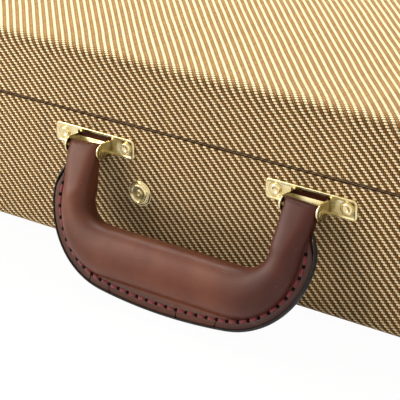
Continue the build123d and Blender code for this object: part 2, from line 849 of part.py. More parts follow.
lever_inside = lever_width / 2 - lever_sheet
with BuildPart() as latch_stubs:
    for x in latch_places:
        for side in (-1, 1):
            with BuildSketch(side_plane(x + side * latch_ear_in)):
                with Locations(lever_pivot):
                    Circle(pin_radius)
            extrude(amount=-side * (lever_width / 2 - latch_ear_in - fit))
            with BuildSketch(side_plane(x + side * latch_ear_in)):
                with Locations(lever_pivot):
                    Circle(pin_head_radius)
            extrude(amount=side * pin_head_height)
latch_stubs.part.label = "latch_stubs"
export_step(latch_stubs.part, "parts/latch_stubs.step")

# Levers and bails, drawn undone: each lever a little ajar, each bail leaning off its strike
ajar = radians(lever_rest_angle)
tilt = radians(bail_rest_angle)
pivot_y = front_y - lever_pivot_out
pivot_z = seam_z - lever_pivot_drop
bail_y = pivot_y + bail_pivot_in * cos(ajar) - bail_pivot_drop * sin(ajar)
bail_z = pivot_z - bail_pivot_in * sin(ajar) - bail_pivot_drop * cos(ajar)
bail_inside = lever_width / 2 + bail_gap
bail_half = bail_inside + bail_sheet
plug_bore = plug_radius + fit
plug_outwards = Vector(0, -cos(ajar), sin(ajar))
plug_upwards = Vector(0, sin(ajar), cos(ajar))


def lever_plane(x):
    """Across a lever through its pivot: its own x runs out of the lever's face, its own y up the lever."""
    return Plane(origin=(x, pivot_y, pivot_z), x_dir=plug_outwards, z_dir=(-1, 0, 0))


def bail_plane(x):
    """Across a bail through its pin: its own x runs out of the bail's face, its own y up the bail."""
    return Plane(origin=(x, bail_y, bail_z), x_dir=(0, -cos(tilt), -sin(tilt)), z_dir=(-1, 0, 0))


def plug_plane(x, out):
    """Facing out of a lever's face, out from its pivot line, at the key plug."""
    origin = Vector(x, pivot_y, pivot_z) + plug_outwards * out - plug_upwards * plug_along
    return Plane(origin=origin, x_dir=(1, 0, 0), z_dir=plug_outwards)


for number, x in enumerate(latch_places, start=1):
    with BuildPart() as lever:
        with BuildSketch(lever_plane(x)):
            with BuildLine():
                Polyline(
                    (lever_face_out, lever_top),
                    (lever_face_out + lever_sheet, lever_top),
                    (lever_face_out + lever_sheet, -lever_length),
                    (lever_face_out + lever_sheet + lever_lip_out, -lever_length - lever_lip),
                    (lever_face_out + lever_lip_out, -lever_length - lever_lip - lever_sheet / 2),
                    (lever_face_out, -lever_length - lever_sheet / 2),
                    (lever_face_out, lever_top),
                )
            make_face()
        extrude(amount=lever_width / 2, both=True)
        for side in (-1, 1):
            with BuildSketch(lever_plane(x + side * (lever_inside + lever_sheet / 2))):
                with BuildLine():
                    Polyline(
                        (lever_face_out, lever_top),
                        (-lever_back, lever_top),
                        (-bail_pivot_in - bail_hub, -bail_pivot_drop),
                        (-bail_pivot_in, -bail_pivot_drop - bail_hub),
                        (lever_face_out - lever_sheet, -lever_length + lever_sheet),
                        (lever_face_out, -lever_length),
                        (lever_face_out, lever_top),
                    )
                make_face()
                Circle(lever_hub)
                Circle(pin_radius + fit, mode=Mode.SUBTRACT)
                with Locations((-bail_pivot_in, -bail_pivot_drop)):
                    Circle(pin_radius + fit, mode=Mode.SUBTRACT)
            extrude(amount=lever_sheet / 2, both=True)
        if x == lock_x:
            with BuildSketch(plug_plane(x, 0)):
                Circle(plug_bore)
            extrude(amount=2 * (lever_face_out + lever_sheet), mode=Mode.SUBTRACT)
    lever.part.label = f"latch_lever_{number}"
    export_step(lever.part, f"parts/latch_lever_{number}.step")

    with BuildPart() as bail:
        with BuildSketch(bail_plane(x)):
            with Locations((0, bail_height - bail_plate_height / 2)):
                Rectangle(bail_sheet, bail_plate_height)
            with Locations((-tooth_reach / 2, bail_height - tooth_thickness / 2)):
                Rectangle(tooth_reach, tooth_thickness)
        extrude(amount=bail_half, both=True)
        for side in (-1, 1):
            with BuildSketch(bail_plane(x + side * (bail_inside + bail_sheet / 2))):
                with Locations((0, bail_height / 2)):
                    Rectangle(2 * bail_hub - bail_sheet, bail_height)
                Circle(bail_hub)
                Circle(pin_radius + fit, mode=Mode.SUBTRACT)
            extrude(amount=bail_sheet / 2, both=True)
    bail.part.label = f"latch_bail_{number}"
    export_step(bail.part, f"parts/latch_bail_{number}.step")

    with BuildPart() as bail_pin:
        with BuildSketch(bail_plane(x)):
            Circle(pin_radius)
        extrude(amount=bail_half + fit, both=True)
        for side in (-1, 1):
            with BuildSketch(bail_plane(x + side * (bail_half + fit))):
                Circle(pin_head_radius)
            extrude(amount=-side * pin_head_height)
    bail_pin.part.label = f"latch_bail_pin_{number}"
    export_step(bail_pin.part, f"parts/latch_bail_pin_{number}.step")

# Key plug in one lever, with the cam that swings behind the plate's keeper
face_out = lever_face_out + lever_sheet
cam_out = keeper_out - lever_pivot_out - cam_thickness - 2 * fit
with BuildPart() as key_plug:
    with BuildSketch(plug_plane(lock_x, face_out + 2 * fit)):
        Circle(plug_head)
    extrude(amount=plug_head_height)
    with BuildSketch(plug_plane(lock_x, face_out + 2 * fit)):
        Circle(plug_radius)
    extrude(amount=-face_out)
    with BuildSketch(plug_plane(lock_x, 2 * fit)):
        Circle(plug_stem_radius)
    extrude(amount=cam_out + cam_thickness - 2 * fit)
    with BuildSketch(plug_plane(lock_x, face_out + 2 * fit + plug_head_height)):
        Rectangle(key_slot_width, key_slot_length)
    extrude(amount=-plug_head_height - lever_sheet, mode=Mode.SUBTRACT)
key_plug.part.label = "key_plug"
export_step(key_plug.part, "parts/key_plug.step")

with BuildPart() as key_cam:
    with BuildSketch(plug_plane(lock_x, cam_out)):
        SlotOverall(cam_length, cam_width, rotation=90)
    extrude(amount=cam_thickness)
key_cam.part.label = "key_cam"
export_step(key_cam.part, "parts/key_cam.step")

# Lid: wall frame, top panel, covering, liner and pad
with BuildPart() as lid_frame:
    add(lid_wood.part)
    with BuildSketch(level(lid_rim)):
        RectangleRounded(inner_length, inner_width, inner_corner)
    extrude(amount=lid_ceiling - lid_rim, mode=Mode.SUBTRACT)
    split(bisect_by=Plane.XY.offset(lid_ceiling), keep=Keep.BOTTOM)
lid_frame.part.label = "lid_frame"
export_step(lid_frame.part, "parts/lid_frame.step")

with BuildPart() as lid_panel:
    add(lid_wood.part)
    split(bisect_by=Plane.XY.offset(lid_ceiling), keep=Keep.TOP)
lid_panel.part.label = "lid_panel"
export_step(lid_panel.part, "parts/lid_panel.step")

with BuildPart() as lid_covering:
    with BuildSketch(level(lid_rim)):
        RectangleRounded(case_length, case_width, corner_radius)
    extrude(amount=lid_top - lid_rim)
    fillet(lid_covering.edges().group_by(Axis.Z)[-1], edge_radius)
    add(lid_wood.part, mode=Mode.SUBTRACT)
lid_covering.part.label = "lid_covering"
export_step(lid_covering.part, "parts/lid_covering.step")

with BuildPart() as lid_liner:
    with BuildSketch(level(base_rim + lip_rise + 2 * seam_gap)):
        RectangleRounded(inner_length, inner_width, inner_corner)
        RectangleRounded(lined_length, lined_width, lined_corner, mode=Mode.SUBTRACT)
    extrude(amount=lid_ceiling - base_rim - lip_rise - 2 * seam_gap)
lid_liner.part.label = "lid_liner"
export_step(lid_liner.part, "parts/lid_liner.step")

with BuildPart() as lid_pad:
    with BuildSketch(level(lid_ceiling)):
        RectangleRounded(2 * end_room, 2 * half_room, lined_corner)
    extrude(amount=-lid_pad_thickness)
    fillet(lid_pad.edges().group_by(Axis.Z)[0], lid_pad_round)
lid_pad.part.label = "lid_pad"
export_step(lid_pad.part, "parts/lid_pad.step")

# Strikes: plates on the lid with a ledge that the bails draw down on
tooth_rest = bail_height - tooth_thickness - bail_pivot_drop - lever_pivot_drop
ledge_top = tooth_rest - ledge_clearance
strike_rivet_places = [
    (x + side * strike_rivet_x, strike_rivet_rise) for x in latch_places for side in (-1, 1)
]
with BuildPart() as strikes:
    with BuildSketch(front_plane):
        with Locations(*[(x, (strike_bottom + strike_top) / 2) for x in latch_places]):
            RectangleRounded(strike_width, strike_top - strike_bottom, latch_corner / 2)
        with Locations(*strike_rivet_places):
            Circle(rivet_shank + fit, mode=Mode.SUBTRACT)
    extrude(amount=strike_thickness)
    with BuildSketch(front_plane.offset(strike_thickness)):
        with Locations(*[(x, ledge_top - ledge_thickness / 2) for x in latch_places]):
            Rectangle(strike_width, ledge_thickness)
    extrude(amount=ledge_reach)
strikes.part.label = "strikes"
export_step(strikes.part, "parts/strikes.step")

with BuildPart() as strike_rivets:
    with BuildSketch(front_plane.offset(strike_thickness)):
        with Locations(*strike_rivet_places):
            Circle(rivet_head)
    extrude(amount=rivet_rise, taper=rivet_taper)
    with BuildSketch(front_plane.offset(strike_thickness)):
        with Locations(*strike_rivet_places):
            Circle(rivet_shank)
    extrude(amount=-strike_thickness)
strike_rivets.part.label = "strike_rivets"
export_step(strike_rivets.part, "parts/strike_rivets.step")

# Hinges: rolled leaves on the back wall, riveted, with a headed pin through the knuckles
hinge_out = knuckle_radius + knuckle_lift
hinge_y = rear_y + hinge_out
knuckle_pitch = hinge_width / knuckle_count
knuckle_length = knuckle_pitch - knuckle_gap
knuckle_places = [(index - (knuckle_count - 1) / 2) * knuckle_pitch for index in range(knuckle_count)]
knuckle_notch = knuckle_radius + knuckle_gap
leaf_width = 2 * knuckle_places[-1] + knuckle_length
hinge_rivet_places = {
    "base": [(side * hinge_rivet_x - x, -hinge_rivet_along) for x in hinge_places for side in (-1, 1)],
    "lid": [(side * hinge_rivet_x - x, hinge_rivet_along) for x in hinge_places for side in (-1, 1)],
}

for name, upwards, own in (
    ("hinge_base_leaves", -1, knuckle_places[0::2]),
    ("hinge_lid_leaves", 1, knuckle_places[1::2]),
):
    others = [place for place in knuckle_places if place not in own]
    holes = hinge_rivet_places["lid" if upwards > 0 else "base"]
    with BuildPart() as leaves:
        with BuildSketch(rear_plane) as leaf_face:
            with Locations(*[(-x, upwards * hinge_leaf_height / 2) for x in hinge_places]):
                Rectangle(leaf_width, hinge_leaf_height)
            fillet(leaf_face.vertices().group_by(Axis.Y)[-1 if upwards > 0 else 0], hinge_corner)
            notches = [(-x - place, upwards * knuckle_notch / 2) for x in hinge_places for place in others]
            with Locations(*notches):
                Rectangle(knuckle_pitch + knuckle_gap, knuckle_notch, mode=Mode.SUBTRACT)
            with Locations(*holes):
                Circle(rivet_shank + fit, mode=Mode.SUBTRACT)
        extrude(amount=hinge_sheet)
        for x in hinge_places:
            for place in own:
                with BuildSketch(Plane(origin=(x + place, hinge_y, seam_z), z_dir=(1, 0, 0))):
                    Circle(knuckle_radius)
                extrude(amount=knuckle_length / 2, both=True)
            with BuildSketch(Plane(origin=(x, hinge_y, seam_z), z_dir=(1, 0, 0))):
                Circle(hinge_pin_radius + fit)
            extrude(amount=hinge_width, both=True, mode=Mode.SUBTRACT)
    leaves.part.label = name
    export_step(leaves.part, f"parts/{name}.step")

with BuildPart() as hinge_pins:
    for x in hinge_places:
        with BuildSketch(Plane(origin=(x, hinge_y, seam_z), z_dir=(1, 0, 0))):
            Circle(hinge_pin_radius)
        extrude(amount=hinge_width / 2, both=True)
        for side in (-1, 1):
            end = x + side * (knuckle_places[-1] + knuckle_length / 2)
            with BuildSketch(Plane(origin=(end, hinge_y, seam_z), z_dir=(1, 0, 0))):
                Circle(hinge_pin_head)
            extrude(amount=side * hinge_pin_head_height)
hinge_pins.part.label = "hinge_pins"
export_step(hinge_pins.part, "parts/hinge_pins.step")

for name, places in hinge_rivet_places.items():
    with BuildPart() as rivets:
        with BuildSketch(rear_plane.offset(hinge_sheet)):
            with Locations(*places):
                Circle(rivet_head)
        extrude(amount=rivet_rise, taper=rivet_taper)
        with BuildSketch(rear_plane.offset(hinge_sheet)):
            with Locations(*places):
                Circle(rivet_shank)
        extrude(amount=-hinge_sheet)
    rivets.part.label = f"hinge_{name}_rivets"
    export_step(rivets.part, f"parts/hinge_{name}_rivets.step")
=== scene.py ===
"""Looks of the bass guitar case: tweed cloth, a leather handle on brass brackets, and plush padding."""
import json
import math
from contextlib import contextmanager

import bmesh
import bpy
from mathutils import Matrix, Vector, noise
from mathutils.bvhtree import BVHTree
from mathutils.geometry import delaunay_2d_cdt


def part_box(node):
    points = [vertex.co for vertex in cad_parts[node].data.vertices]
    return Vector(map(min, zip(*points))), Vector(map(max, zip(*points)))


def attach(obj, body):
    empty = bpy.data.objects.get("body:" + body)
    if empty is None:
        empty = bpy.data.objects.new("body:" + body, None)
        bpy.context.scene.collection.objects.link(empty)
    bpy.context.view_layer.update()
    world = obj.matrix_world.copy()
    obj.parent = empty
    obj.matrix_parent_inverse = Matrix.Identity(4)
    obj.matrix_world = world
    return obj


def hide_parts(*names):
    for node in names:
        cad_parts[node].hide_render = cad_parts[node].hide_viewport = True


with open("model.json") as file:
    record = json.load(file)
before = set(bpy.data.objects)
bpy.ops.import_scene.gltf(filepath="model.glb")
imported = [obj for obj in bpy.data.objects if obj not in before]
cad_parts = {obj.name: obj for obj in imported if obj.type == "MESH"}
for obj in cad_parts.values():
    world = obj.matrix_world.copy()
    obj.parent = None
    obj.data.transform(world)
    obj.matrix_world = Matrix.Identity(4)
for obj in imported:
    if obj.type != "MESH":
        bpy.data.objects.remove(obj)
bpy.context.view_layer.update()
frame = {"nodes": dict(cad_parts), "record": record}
nodes = frame["nodes"]
MM = 0.001

# Sizes shared with the CAD model, in millimetres
CASE_L = 1200.0
CASE_W = 368.0
CORNER = 30.0
EDGE = 12.0
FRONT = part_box("base_covering")[0][1] / MM
REAR = FRONT + CASE_W
MID_Y = FRONT + CASE_W / 2
BASE_Z = 5.0
SEAM = 90.4
RIM_BASE = 90.1
RIM_LID = 90.7
TOP = 130.4
REST = math.radians(21.7)
SPAN = 73.0
PLATE_Z = SEAM - 14.9
PIVOT = Vector((0.0, FRONT - 10.5, SEAM - 16.5))
DOWN = Vector((0.0, -math.sin(REST), -math.cos(REST)))
OUT = Vector((0.0, -math.cos(REST), math.sin(REST)))


# Mesh helpers
def add_object(name, data):
    obj = bpy.data.objects.new(name, data)
    bpy.context.scene.collection.objects.link(obj)
    return obj


def shade_smooth(obj):
    obj.data.polygons.foreach_set("use_smooth", [True] * len(obj.data.polygons))


def new_mesh(name, verts, faces, smooth_faces=True):
    """An object from points in millimetres."""
    mesh = bpy.data.meshes.new(name)
    mesh.from_pydata([tuple(c * MM for c in v) for v in verts], [], faces)
    mesh.validate()
    mesh.update()
    obj = add_object(name, mesh)
    if smooth_faces:
        shade_smooth(obj)
    return obj


@contextmanager
def edited(mesh, merge=None):
    """The mesh as a bmesh, with its points merged where asked, and written back afterwards."""
    bm = bmesh.new()
    bm.from_mesh(mesh)
    if merge:
        bmesh.ops.remove_doubles(bm, verts=bm.verts, dist=merge)
    yield bm
    bm.to_mesh(mesh)
    bm.free()


def paint(obj, *materials):
    obj.data.materials.clear()
    for m in materials:
        obj.data.materials.append(m)


def dress(obj, body, slot, replaced, *materials):
    """Paint a piece and say which body it rides on and which CAD nodes it replaces. Its slot is not used."""
    paint(obj, *materials)
    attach(obj, body)
    if replaced:
        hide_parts(*replaced)


def apply_modifiers(obj):
    graph = bpy.context.evaluated_depsgraph_get()
    mesh = bpy.data.meshes.new_from_object(obj.evaluated_get(graph))
    old = obj.data
    obj.modifiers.clear()
    obj.data = mesh
    bpy.data.meshes.remove(old)


def subdivide(obj, levels):
    mod = obj.modifiers.new("smooth", "SUBSURF")
    mod.levels = mod.render_levels = levels
    apply_modifiers(obj)
    shade_smooth(obj)


def outward(obj):
    with edited(obj.data) as bm:
        bmesh.ops.recalc_face_normals(bm, faces=bm.faces)


def loft(rings, caps=True):
    """Vertices and faces of a skin over closed rings that have equal numbers of points."""
    n = len(rings[0])
    faces = []
    for a in range(len(rings) - 1):
        for b in range(n):
            c = (b + 1) % n
            faces.append((a * n + b, a * n + c, (a + 1) * n + c, (a + 1) * n + b))
    if caps:
        faces.append(tuple(reversed(range(n))))
        faces.append(tuple(range((len(rings) - 1) * n, len(rings) * n)))
    return [p for ring in rings for p in ring], faces


def turned_faces(m, n, closed):
    """Faces between m profiles of n points that stand round in a circle."""
    faces = []
    for a in range(m):
        b = (a + 1) % m
        for c in range(n if closed else n - 1):
            d = (c + 1) % n
            faces.append((a * n + c, b * n + c, b * n + d, a * n + d))
    return faces


def revolved(profile, centre, axis, steps=32):
    """Vertices and faces of a profile of (radius, height) pairs turned about an axis through centre."""
    axis = Vector(axis).normalized()
    side = axis.orthogonal().normalized()
    other = axis.cross(side)
    verts = []
    for k in range(steps):
        turn = 2 * math.pi * k / steps
        ray = side * math.cos(turn) + other * math.sin(turn)
        verts += [Vector(centre) + ray * r + axis * h for r, h in profile]
    return verts, turned_faces(steps, len(profile), False)


def joined(name, parts):
    """One object from several (verts, faces) pairs."""
    verts, faces = [], []
    for vs, fs in parts:
        start = len(verts)
        verts += vs
        faces += [tuple(start + i for i in f) for f in fs]
    obj = new_mesh(name, verts, faces)
    with edited(obj.data, 1e-6) as bm:
        bmesh.ops.recalc_face_normals(bm, faces=bm.faces)
    return obj


BEVEL_FROM = math.radians(28.0)
FLAT_WITHIN = math.radians(1.0)
CAD_MERGE = 2e-6


def bevelled(node, name, width, segments=2):
    """A copy of a CAD node with its edges rounded."""
    obj = add_object(name, nodes[node].data.copy())
    with edited(obj.data, CAD_MERGE) as bm:
        bmesh.ops.dissolve_limit(bm, angle_limit=FLAT_WITHIN, verts=bm.verts, edges=bm.edges)
    mod = obj.modifiers.new("round", "BEVEL")
    mod.width = width * MM
    mod.segments = segments
    mod.limit_method = "ANGLE"
    mod.angle_limit = BEVEL_FROM
    mod.use_clamp_overlap = True
    mod.harden_normals = False
    apply_modifiers(obj)
    shade_smooth(obj)
    obj.modifiers.new("flat", "WEIGHTED_NORMAL").keep_sharp = False
    return obj


# Material helpers
class Graph:
    """The nodes of a material or of the world, with short calls for the common ones."""

    def __init__(self, owner):
        owner.use_nodes = True
        self.tree = owner.node_tree
        self.shader = self.tree.nodes.get("Principled BSDF")
        self.coords = self.tree.nodes.new("ShaderNodeTexCoord")
        self.place = self.coords.outputs["Object"]

    def set(self, socket, value):
        """Link a socket, or set a number, a vector or a colour on it."""
        if isinstance(value, bpy.types.NodeSocket):
            self.tree.links.new(value, socket)
        elif isinstance(value, tuple) and len(value) < len(socket.default_value):
            socket.default_value = (*value, 1.0)
        else:
            socket.default_value = value

    def put(self, **values):
        for key, value in values.items():
            self.set(self.shader.inputs[key.replace("_", " ")], value)

    def node(self, kind, inputs, output=0, **settings):
        """A new node's output. Its inputs are linked or set in their order, or by number or name."""
        n = self.tree.nodes.new("ShaderNode" + kind)
        for key, value in settings.items():
            setattr(n, key, value)
        for key, value in inputs.items() if isinstance(inputs, dict) else enumerate(inputs):
            self.set(n.inputs[key], value)
        return n.outputs[output] if n.outputs else None

    def seen(self):
        """In an emptied tree, a value that is 1 for rays that show a thing and 0 for those that light it."""
        self.tree.nodes.clear()
        rays = self.tree.nodes.new("ShaderNodeLightPath").outputs
        first = self.math("MAXIMUM", rays["Is Camera Ray"], rays["Is Transmission Ray"])
        return self.math("MAXIMUM", first, rays["Is Glossy Ray"])

    def math(self, op, a, b=0.0, c=0.0):
        return self.node("Math", (a, b, c), operation=op)

    def times(self, a, b):
        return self.math("MULTIPLY", a, b)

    def plus(self, a, b):
        return self.math("ADD", a, b)

    def split(self, vector):
        n = self.tree.nodes.new("ShaderNodeSeparateXYZ")
        self.set(n.inputs[0], vector)
        return tuple(n.outputs)

    def noise(self, scale, detail=2.0, rough=0.5, stretch=None):
        place = self.node("VectorMath", (self.place, stretch), operation="MULTIPLY") if stretch else self.place
        return self.node("TexNoise", {"Vector": place, "Scale": scale, "Detail": detail, "Roughness": rough})

    def voronoi(self, scale, feature="F1"):
        return self.node("TexVoronoi", {"Vector": self.place, "Scale": scale}, "Distance", feature=feature)

    def white(self, x, y, z):
        place = self.node("CombineXYZ", (x, y, z))
        return self.node("TexWhiteNoise", {"Vector": place}, "Value", noise_dimensions="3D")

    def ramp(self, value, *stops):
        n = self.tree.nodes.new("ShaderNodeValToRGB")
        while len(n.color_ramp.elements) < len(stops):
            n.color_ramp.elements.new(0.5)
        for e, (place, colour) in zip(n.color_ramp.elements, stops):
            e.position = place
            e.color = (*colour, 1.0)
        self.set(n.inputs[0], value)
        return n.outputs[0]

    def span(self, value, a, b, c=0.0, d=1.0):
        """The value's way from a to b, as a smooth way from c to d."""
        return self.node("MapRange", (value, a, b, c, d), interpolation_type="SMOOTHSTEP")

    def mix(self, share, a, b, kind="MIX"):
        return self.node("Mix", {0: share, 6: a, 7: b}, 2, data_type="RGBA", blend_type=kind)

    def bump(self, height, distance, strength):
        self.put(Normal=self.node("Bump", {"Height": height, "Distance": distance, "Strength": strength}))


def new_material(name):
    mat = bpy.data.materials.new(name)
    return Graph(mat), mat


def tinted(tint, *colour):
    """A colour times a number, or times a tint of three numbers."""
    return tuple(c * t for c, t in zip(colour, tint if isinstance(tint, tuple) else (tint,) * 3))


# Yarns per millimetre of cloth: warp yarns lean a little, weft rows are almost level
WARP = (0.751, -0.074)
WEFT = (0.013, 0.762)


def tweed_material():
    """A two-and-two twill of cream and brown yarns, laid out by the cloth's own UV map in metres."""
    g, mat = new_material("tweed")
    u, v, _ = g.split(g.node("UVMap", (), uv_map="cloth"))
    wander = g.noise(18.0, 2.0, 0.5)

    def yarns(across, along):
        return g.plus(g.times(u, across / MM), g.times(v, along / MM))

    u, v = g.plus(yarns(*WARP), g.span(wander, 0.3, 0.7, -0.22, 0.22)), yarns(*WEFT)
    i, j = g.math("FLOOR", u), g.math("FLOOR", v)
    fu, fv = g.math("FRACT", u), g.math("FRACT", v)
    m = g.math("FLOORED_MODULO", g.plus(i, j), 4.0)
    weft = g.math("LESS_THAN", m, 1.5)
    # place along each float, 0 to 1, and across it, -1 to 1
    weft_along = g.times(g.plus(m, fu), 0.5)
    warp_along = g.times(g.plus(g.math("SUBTRACT", m, 2.0), fv), 0.5)
    weft_across = g.math("SUBTRACT", g.times(fv, 2.0), 1.0)
    warp_across = g.math("SUBTRACT", g.times(fu, 2.0), 1.0)

    def height(along, across):
        arch = g.math("SINE", g.times(along, math.pi))
        crown = g.math("SUBTRACT", 1.0, g.times(g.math("POWER", g.math("ABSOLUTE", across), 2.4), 0.9))
        return g.times(g.math("POWER", g.math("MAXIMUM", arch, 0.0), 0.55), crown)

    high_weft = g.times(height(weft_along, weft_across), weft)
    high_warp = g.times(g.times(height(warp_along, warp_across), 0.62), g.math("SUBTRACT", 1.0, weft))
    high = g.plus(high_weft, high_warp)
    # every yarn has its own shade
    row = g.white(3.7, j, 1.0)
    column = g.white(i, 8.1, 2.0)
    cell = g.white(i, j, 5.0)
    fibre = g.noise(2600.0, 2.0, 0.6)
    cream = g.mix(g.times(row, 0.5), (1.0, 0.86, 0.57), (0.94, 0.73, 0.41))
    cream = g.mix(g.times(cell, 0.25), cream, (0.85, 0.58, 0.27))
    # the brown yarns are painted lighter where the cloth faces up: a painted highlight for the better-lit top
    _, _, facing_up = g.split(g.coords.outputs["Normal"])
    brown = g.mix(
        g.span(facing_up, 0.35, 0.95),
        g.mix(column, (0.205, 0.068, 0.004), (0.345, 0.136, 0.014)),
        g.mix(column, (0.38, 0.166, 0.021), (0.58, 0.295, 0.066)),
    )
    colour = g.mix(weft, brown, cream)
    # the colour is darkened where the yarns sink between each other: painted shade in the gaps, times the
    # fibre's own tone
    painted_gap_shade = g.span(high, 0.12, 0.72, 0.07, 1.0)
    shade = g.times(painted_gap_shade, g.span(fibre, 0.3, 0.7, 0.88, 1.08))
    colour = g.mix(1.0, colour, g.node("CombineXYZ", (shade, shade, shade)), "MULTIPLY")
    worn = g.noise(5.0, 3.0, 0.6)
    tint = g.ramp(worn, (0.35, (0.93, 0.92, 0.90)), (0.65, (1.0, 1.0, 1.0)))
    g.put(
        Base_Color=g.mix(1.0, colour, tint, "MULTIPLY"), Roughness=g.span(high, 0.2, 1.0, 0.85, 0.52),
        Specular_IOR_Level=0.12, Sheen_Weight=0.36, Sheen_Roughness=0.45, Sheen_Tint=(1.0, 0.76, 0.42, 1.0),
    )
    twist = g.noise(1500.0, 1.0, 0.5)
    g.bump(g.plus(high, g.times(twist, 0.18)), 0.00055, 0.95)
    return mat


def leather_material(name="leather", dark=1.0):
    g, mat = new_material(name)
    tone = g.noise(38.0, 4.0, 0.55)
    patch = g.noise(11.0, 2.0, 0.5)
    base = g.ramp(
        tone,
        (0.30, tinted(dark, 0.084, 0.022, 0.010)),
        (0.55, tinted(dark, 0.124, 0.035, 0.016)),
        (0.78, tinted(dark, 0.170, 0.054, 0.027)),
    )
    base = g.mix(g.span(patch, 0.42, 0.70, 0.0, 0.35), base, tinted(dark, 0.150, 0.034, 0.011))
    # both arms are painted darker than the grip as painted shade, the right one more so, and the grip's middle
    # is painted lighter as a painted highlight
    across, _, _ = g.split(g.place)
    from_middle = g.math("ABSOLUTE", across)
    painted_arm_shade = g.mix(g.span(across, -0.02, 0.06), (0.95, 0.86, 0.72), (0.52, 0.33, 0.26))
    base = g.mix(g.span(from_middle, 0.026, 0.070), base, painted_arm_shade, "MULTIPLY")
    base = g.mix(g.span(from_middle, 0.02, 0.055, 1.0, 0.0), base, (1.12, 1.1, 1.08), "MULTIPLY")
    wrinkle = g.voronoi(520.0, "DISTANCE_TO_EDGE")
    pore = g.voronoi(1900.0)
    line = g.span(wrinkle, 0.0, 0.07)
    base = g.mix(g.times(g.math("SUBTRACT", 1.0, line), 0.18), base, (0.05, 0.018, 0.012))
    # light hairline scratches, stretched along the arms
    streak = g.noise(1.0, 2.0, 0.6, (90.0, 420.0, 1400.0))
    base = g.mix(g.span(streak, 0.735, 0.775, 0.0, 0.35), base, (0.40, 0.24, 0.18))
    g.put(
        Base_Color=base, Roughness=g.span(tone, 0.3, 0.75, 0.48, 0.37),
        Specular_IOR_Level=0.3, Coat_Weight=0.02, Coat_Roughness=0.30,
    )
    height = g.plus(g.times(line, 0.5), g.times(g.span(pore, 0.0, 0.4), 0.35))
    g.bump(g.plus(height, g.times(g.noise(60.0, 3.0, 0.5), 2.2)), 0.00006, 0.7)
    return mat


def brass_material(name="brass", rough=(0.15, 0.26), tint=1.0):
    g, mat = new_material(name)
    cloud = g.noise(130.0, 3.0, 0.55)
    spot = g.noise(420.0, 2.0, 0.5)
    colour = g.ramp(
        cloud,
        (0.30, tinted(tint, 0.64, 0.48, 0.19)),
        (0.46, tinted(tint, 0.84, 0.69, 0.36)),
        (0.72, tinted(tint, 0.93, 0.83, 0.54)),
    )
    colour = g.mix(g.span(spot, 0.64, 0.80, 0.0, 0.22), colour, (0.50, 0.34, 0.12))
    brush = g.noise(1.0, 2.0, 0.6, (40.0, 260.0, 700.0))
    g.put(Base_Color=colour, Roughness=g.span(brush, 0.3, 0.7, *rough), Metallic=1.0)
    g.bump(g.plus(brush, g.times(spot, 0.6)), 0.000008, 0.35)
    return mat


def plush_material(name="plush", tint=(1.0, 1.0, 1.0)):
    g, mat = new_material(name)
    pile = g.noise(1400.0, 3.0, 0.65)
    clump = g.noise(90.0, 4.0, 0.6)
    stroke = g.noise(9.0, 2.0, 0.5)
    low, high = tinted(tint, 0.115, 0.008, 0.014), tinted(tint, 0.215, 0.020, 0.030)
    colour = g.ramp(clump, (0.30, low), (0.70, high))
    colour = g.mix(g.span(stroke, 0.40, 0.62, 0.0, 0.5), colour, tinted(tint, 0.27, 0.030, 0.044))
    colour = g.mix(g.span(pile, 0.30, 0.55, 0.45, 0.0), colour, tinted(tint, 0.045, 0.004, 0.007))
    g.put(
        Base_Color=colour, Roughness=0.9,
        Sheen_Weight=0.45, Sheen_Roughness=0.4, Sheen_Tint=(0.9, 0.35, 0.38, 1.0),
    )
    g.bump(g.plus(pile, g.times(clump, 1.5)), 0.0007, 0.8)
    return mat


def thread_material():
    g, mat = new_material("thread")
    x, y, z = g.split(g.place)
    ply = g.math("SINE", g.times(g.plus(g.plus(x, y), z), 7000.0))
    tone = g.noise(900.0, 2.0, 0.5)
    colour = g.ramp(tone, (0.3, (0.12, 0.004, 0.008)), (0.7, (0.24, 0.014, 0.020)))
    g.put(Base_Color=colour, Roughness=0.62, Sheen_Weight=0.2)
    g.bump(ply, 0.00010, 0.8)
    return mat


def wood_material():
    g, mat = new_material("plywood")
    _, _, z = g.split(g.place)
    layer = g.math("FRACT", g.times(z, 700.0))
    grain = g.noise(1.0, 4.0, 0.6, (14.0, 60.0, 420.0))
    colour = g.ramp(grain, (0.3, (0.42, 0.25, 0.12)), (0.7, (0.62, 0.42, 0.23)))
    g.put(Base_Color=g.mix(g.span(layer, 0.42, 0.5, 0.0, 0.35), colour, (0.22, 0.11, 0.05)), Roughness=0.6)
    g.bump(grain, 0.0002, 0.5)
    return mat


def plain_material(name, tone, dark, light, rough, bump=None, **values):
    """Two colours, and two roughnesses or one, mixed by a noise. The bump follows that noise or its own."""
    g, mat = new_material(name)
    tone = g.noise(*tone)
    if isinstance(rough, tuple):
        rough = g.span(tone, 0.3, 0.7, *rough)
    g.put(Base_Color=g.ramp(tone, (0.3, dark), (0.7, light)), Roughness=rough, **values)
    if bump:
        grain, distance, strength = bump
        g.bump(g.noise(*grain) if grain else tone, distance, strength)
    return mat


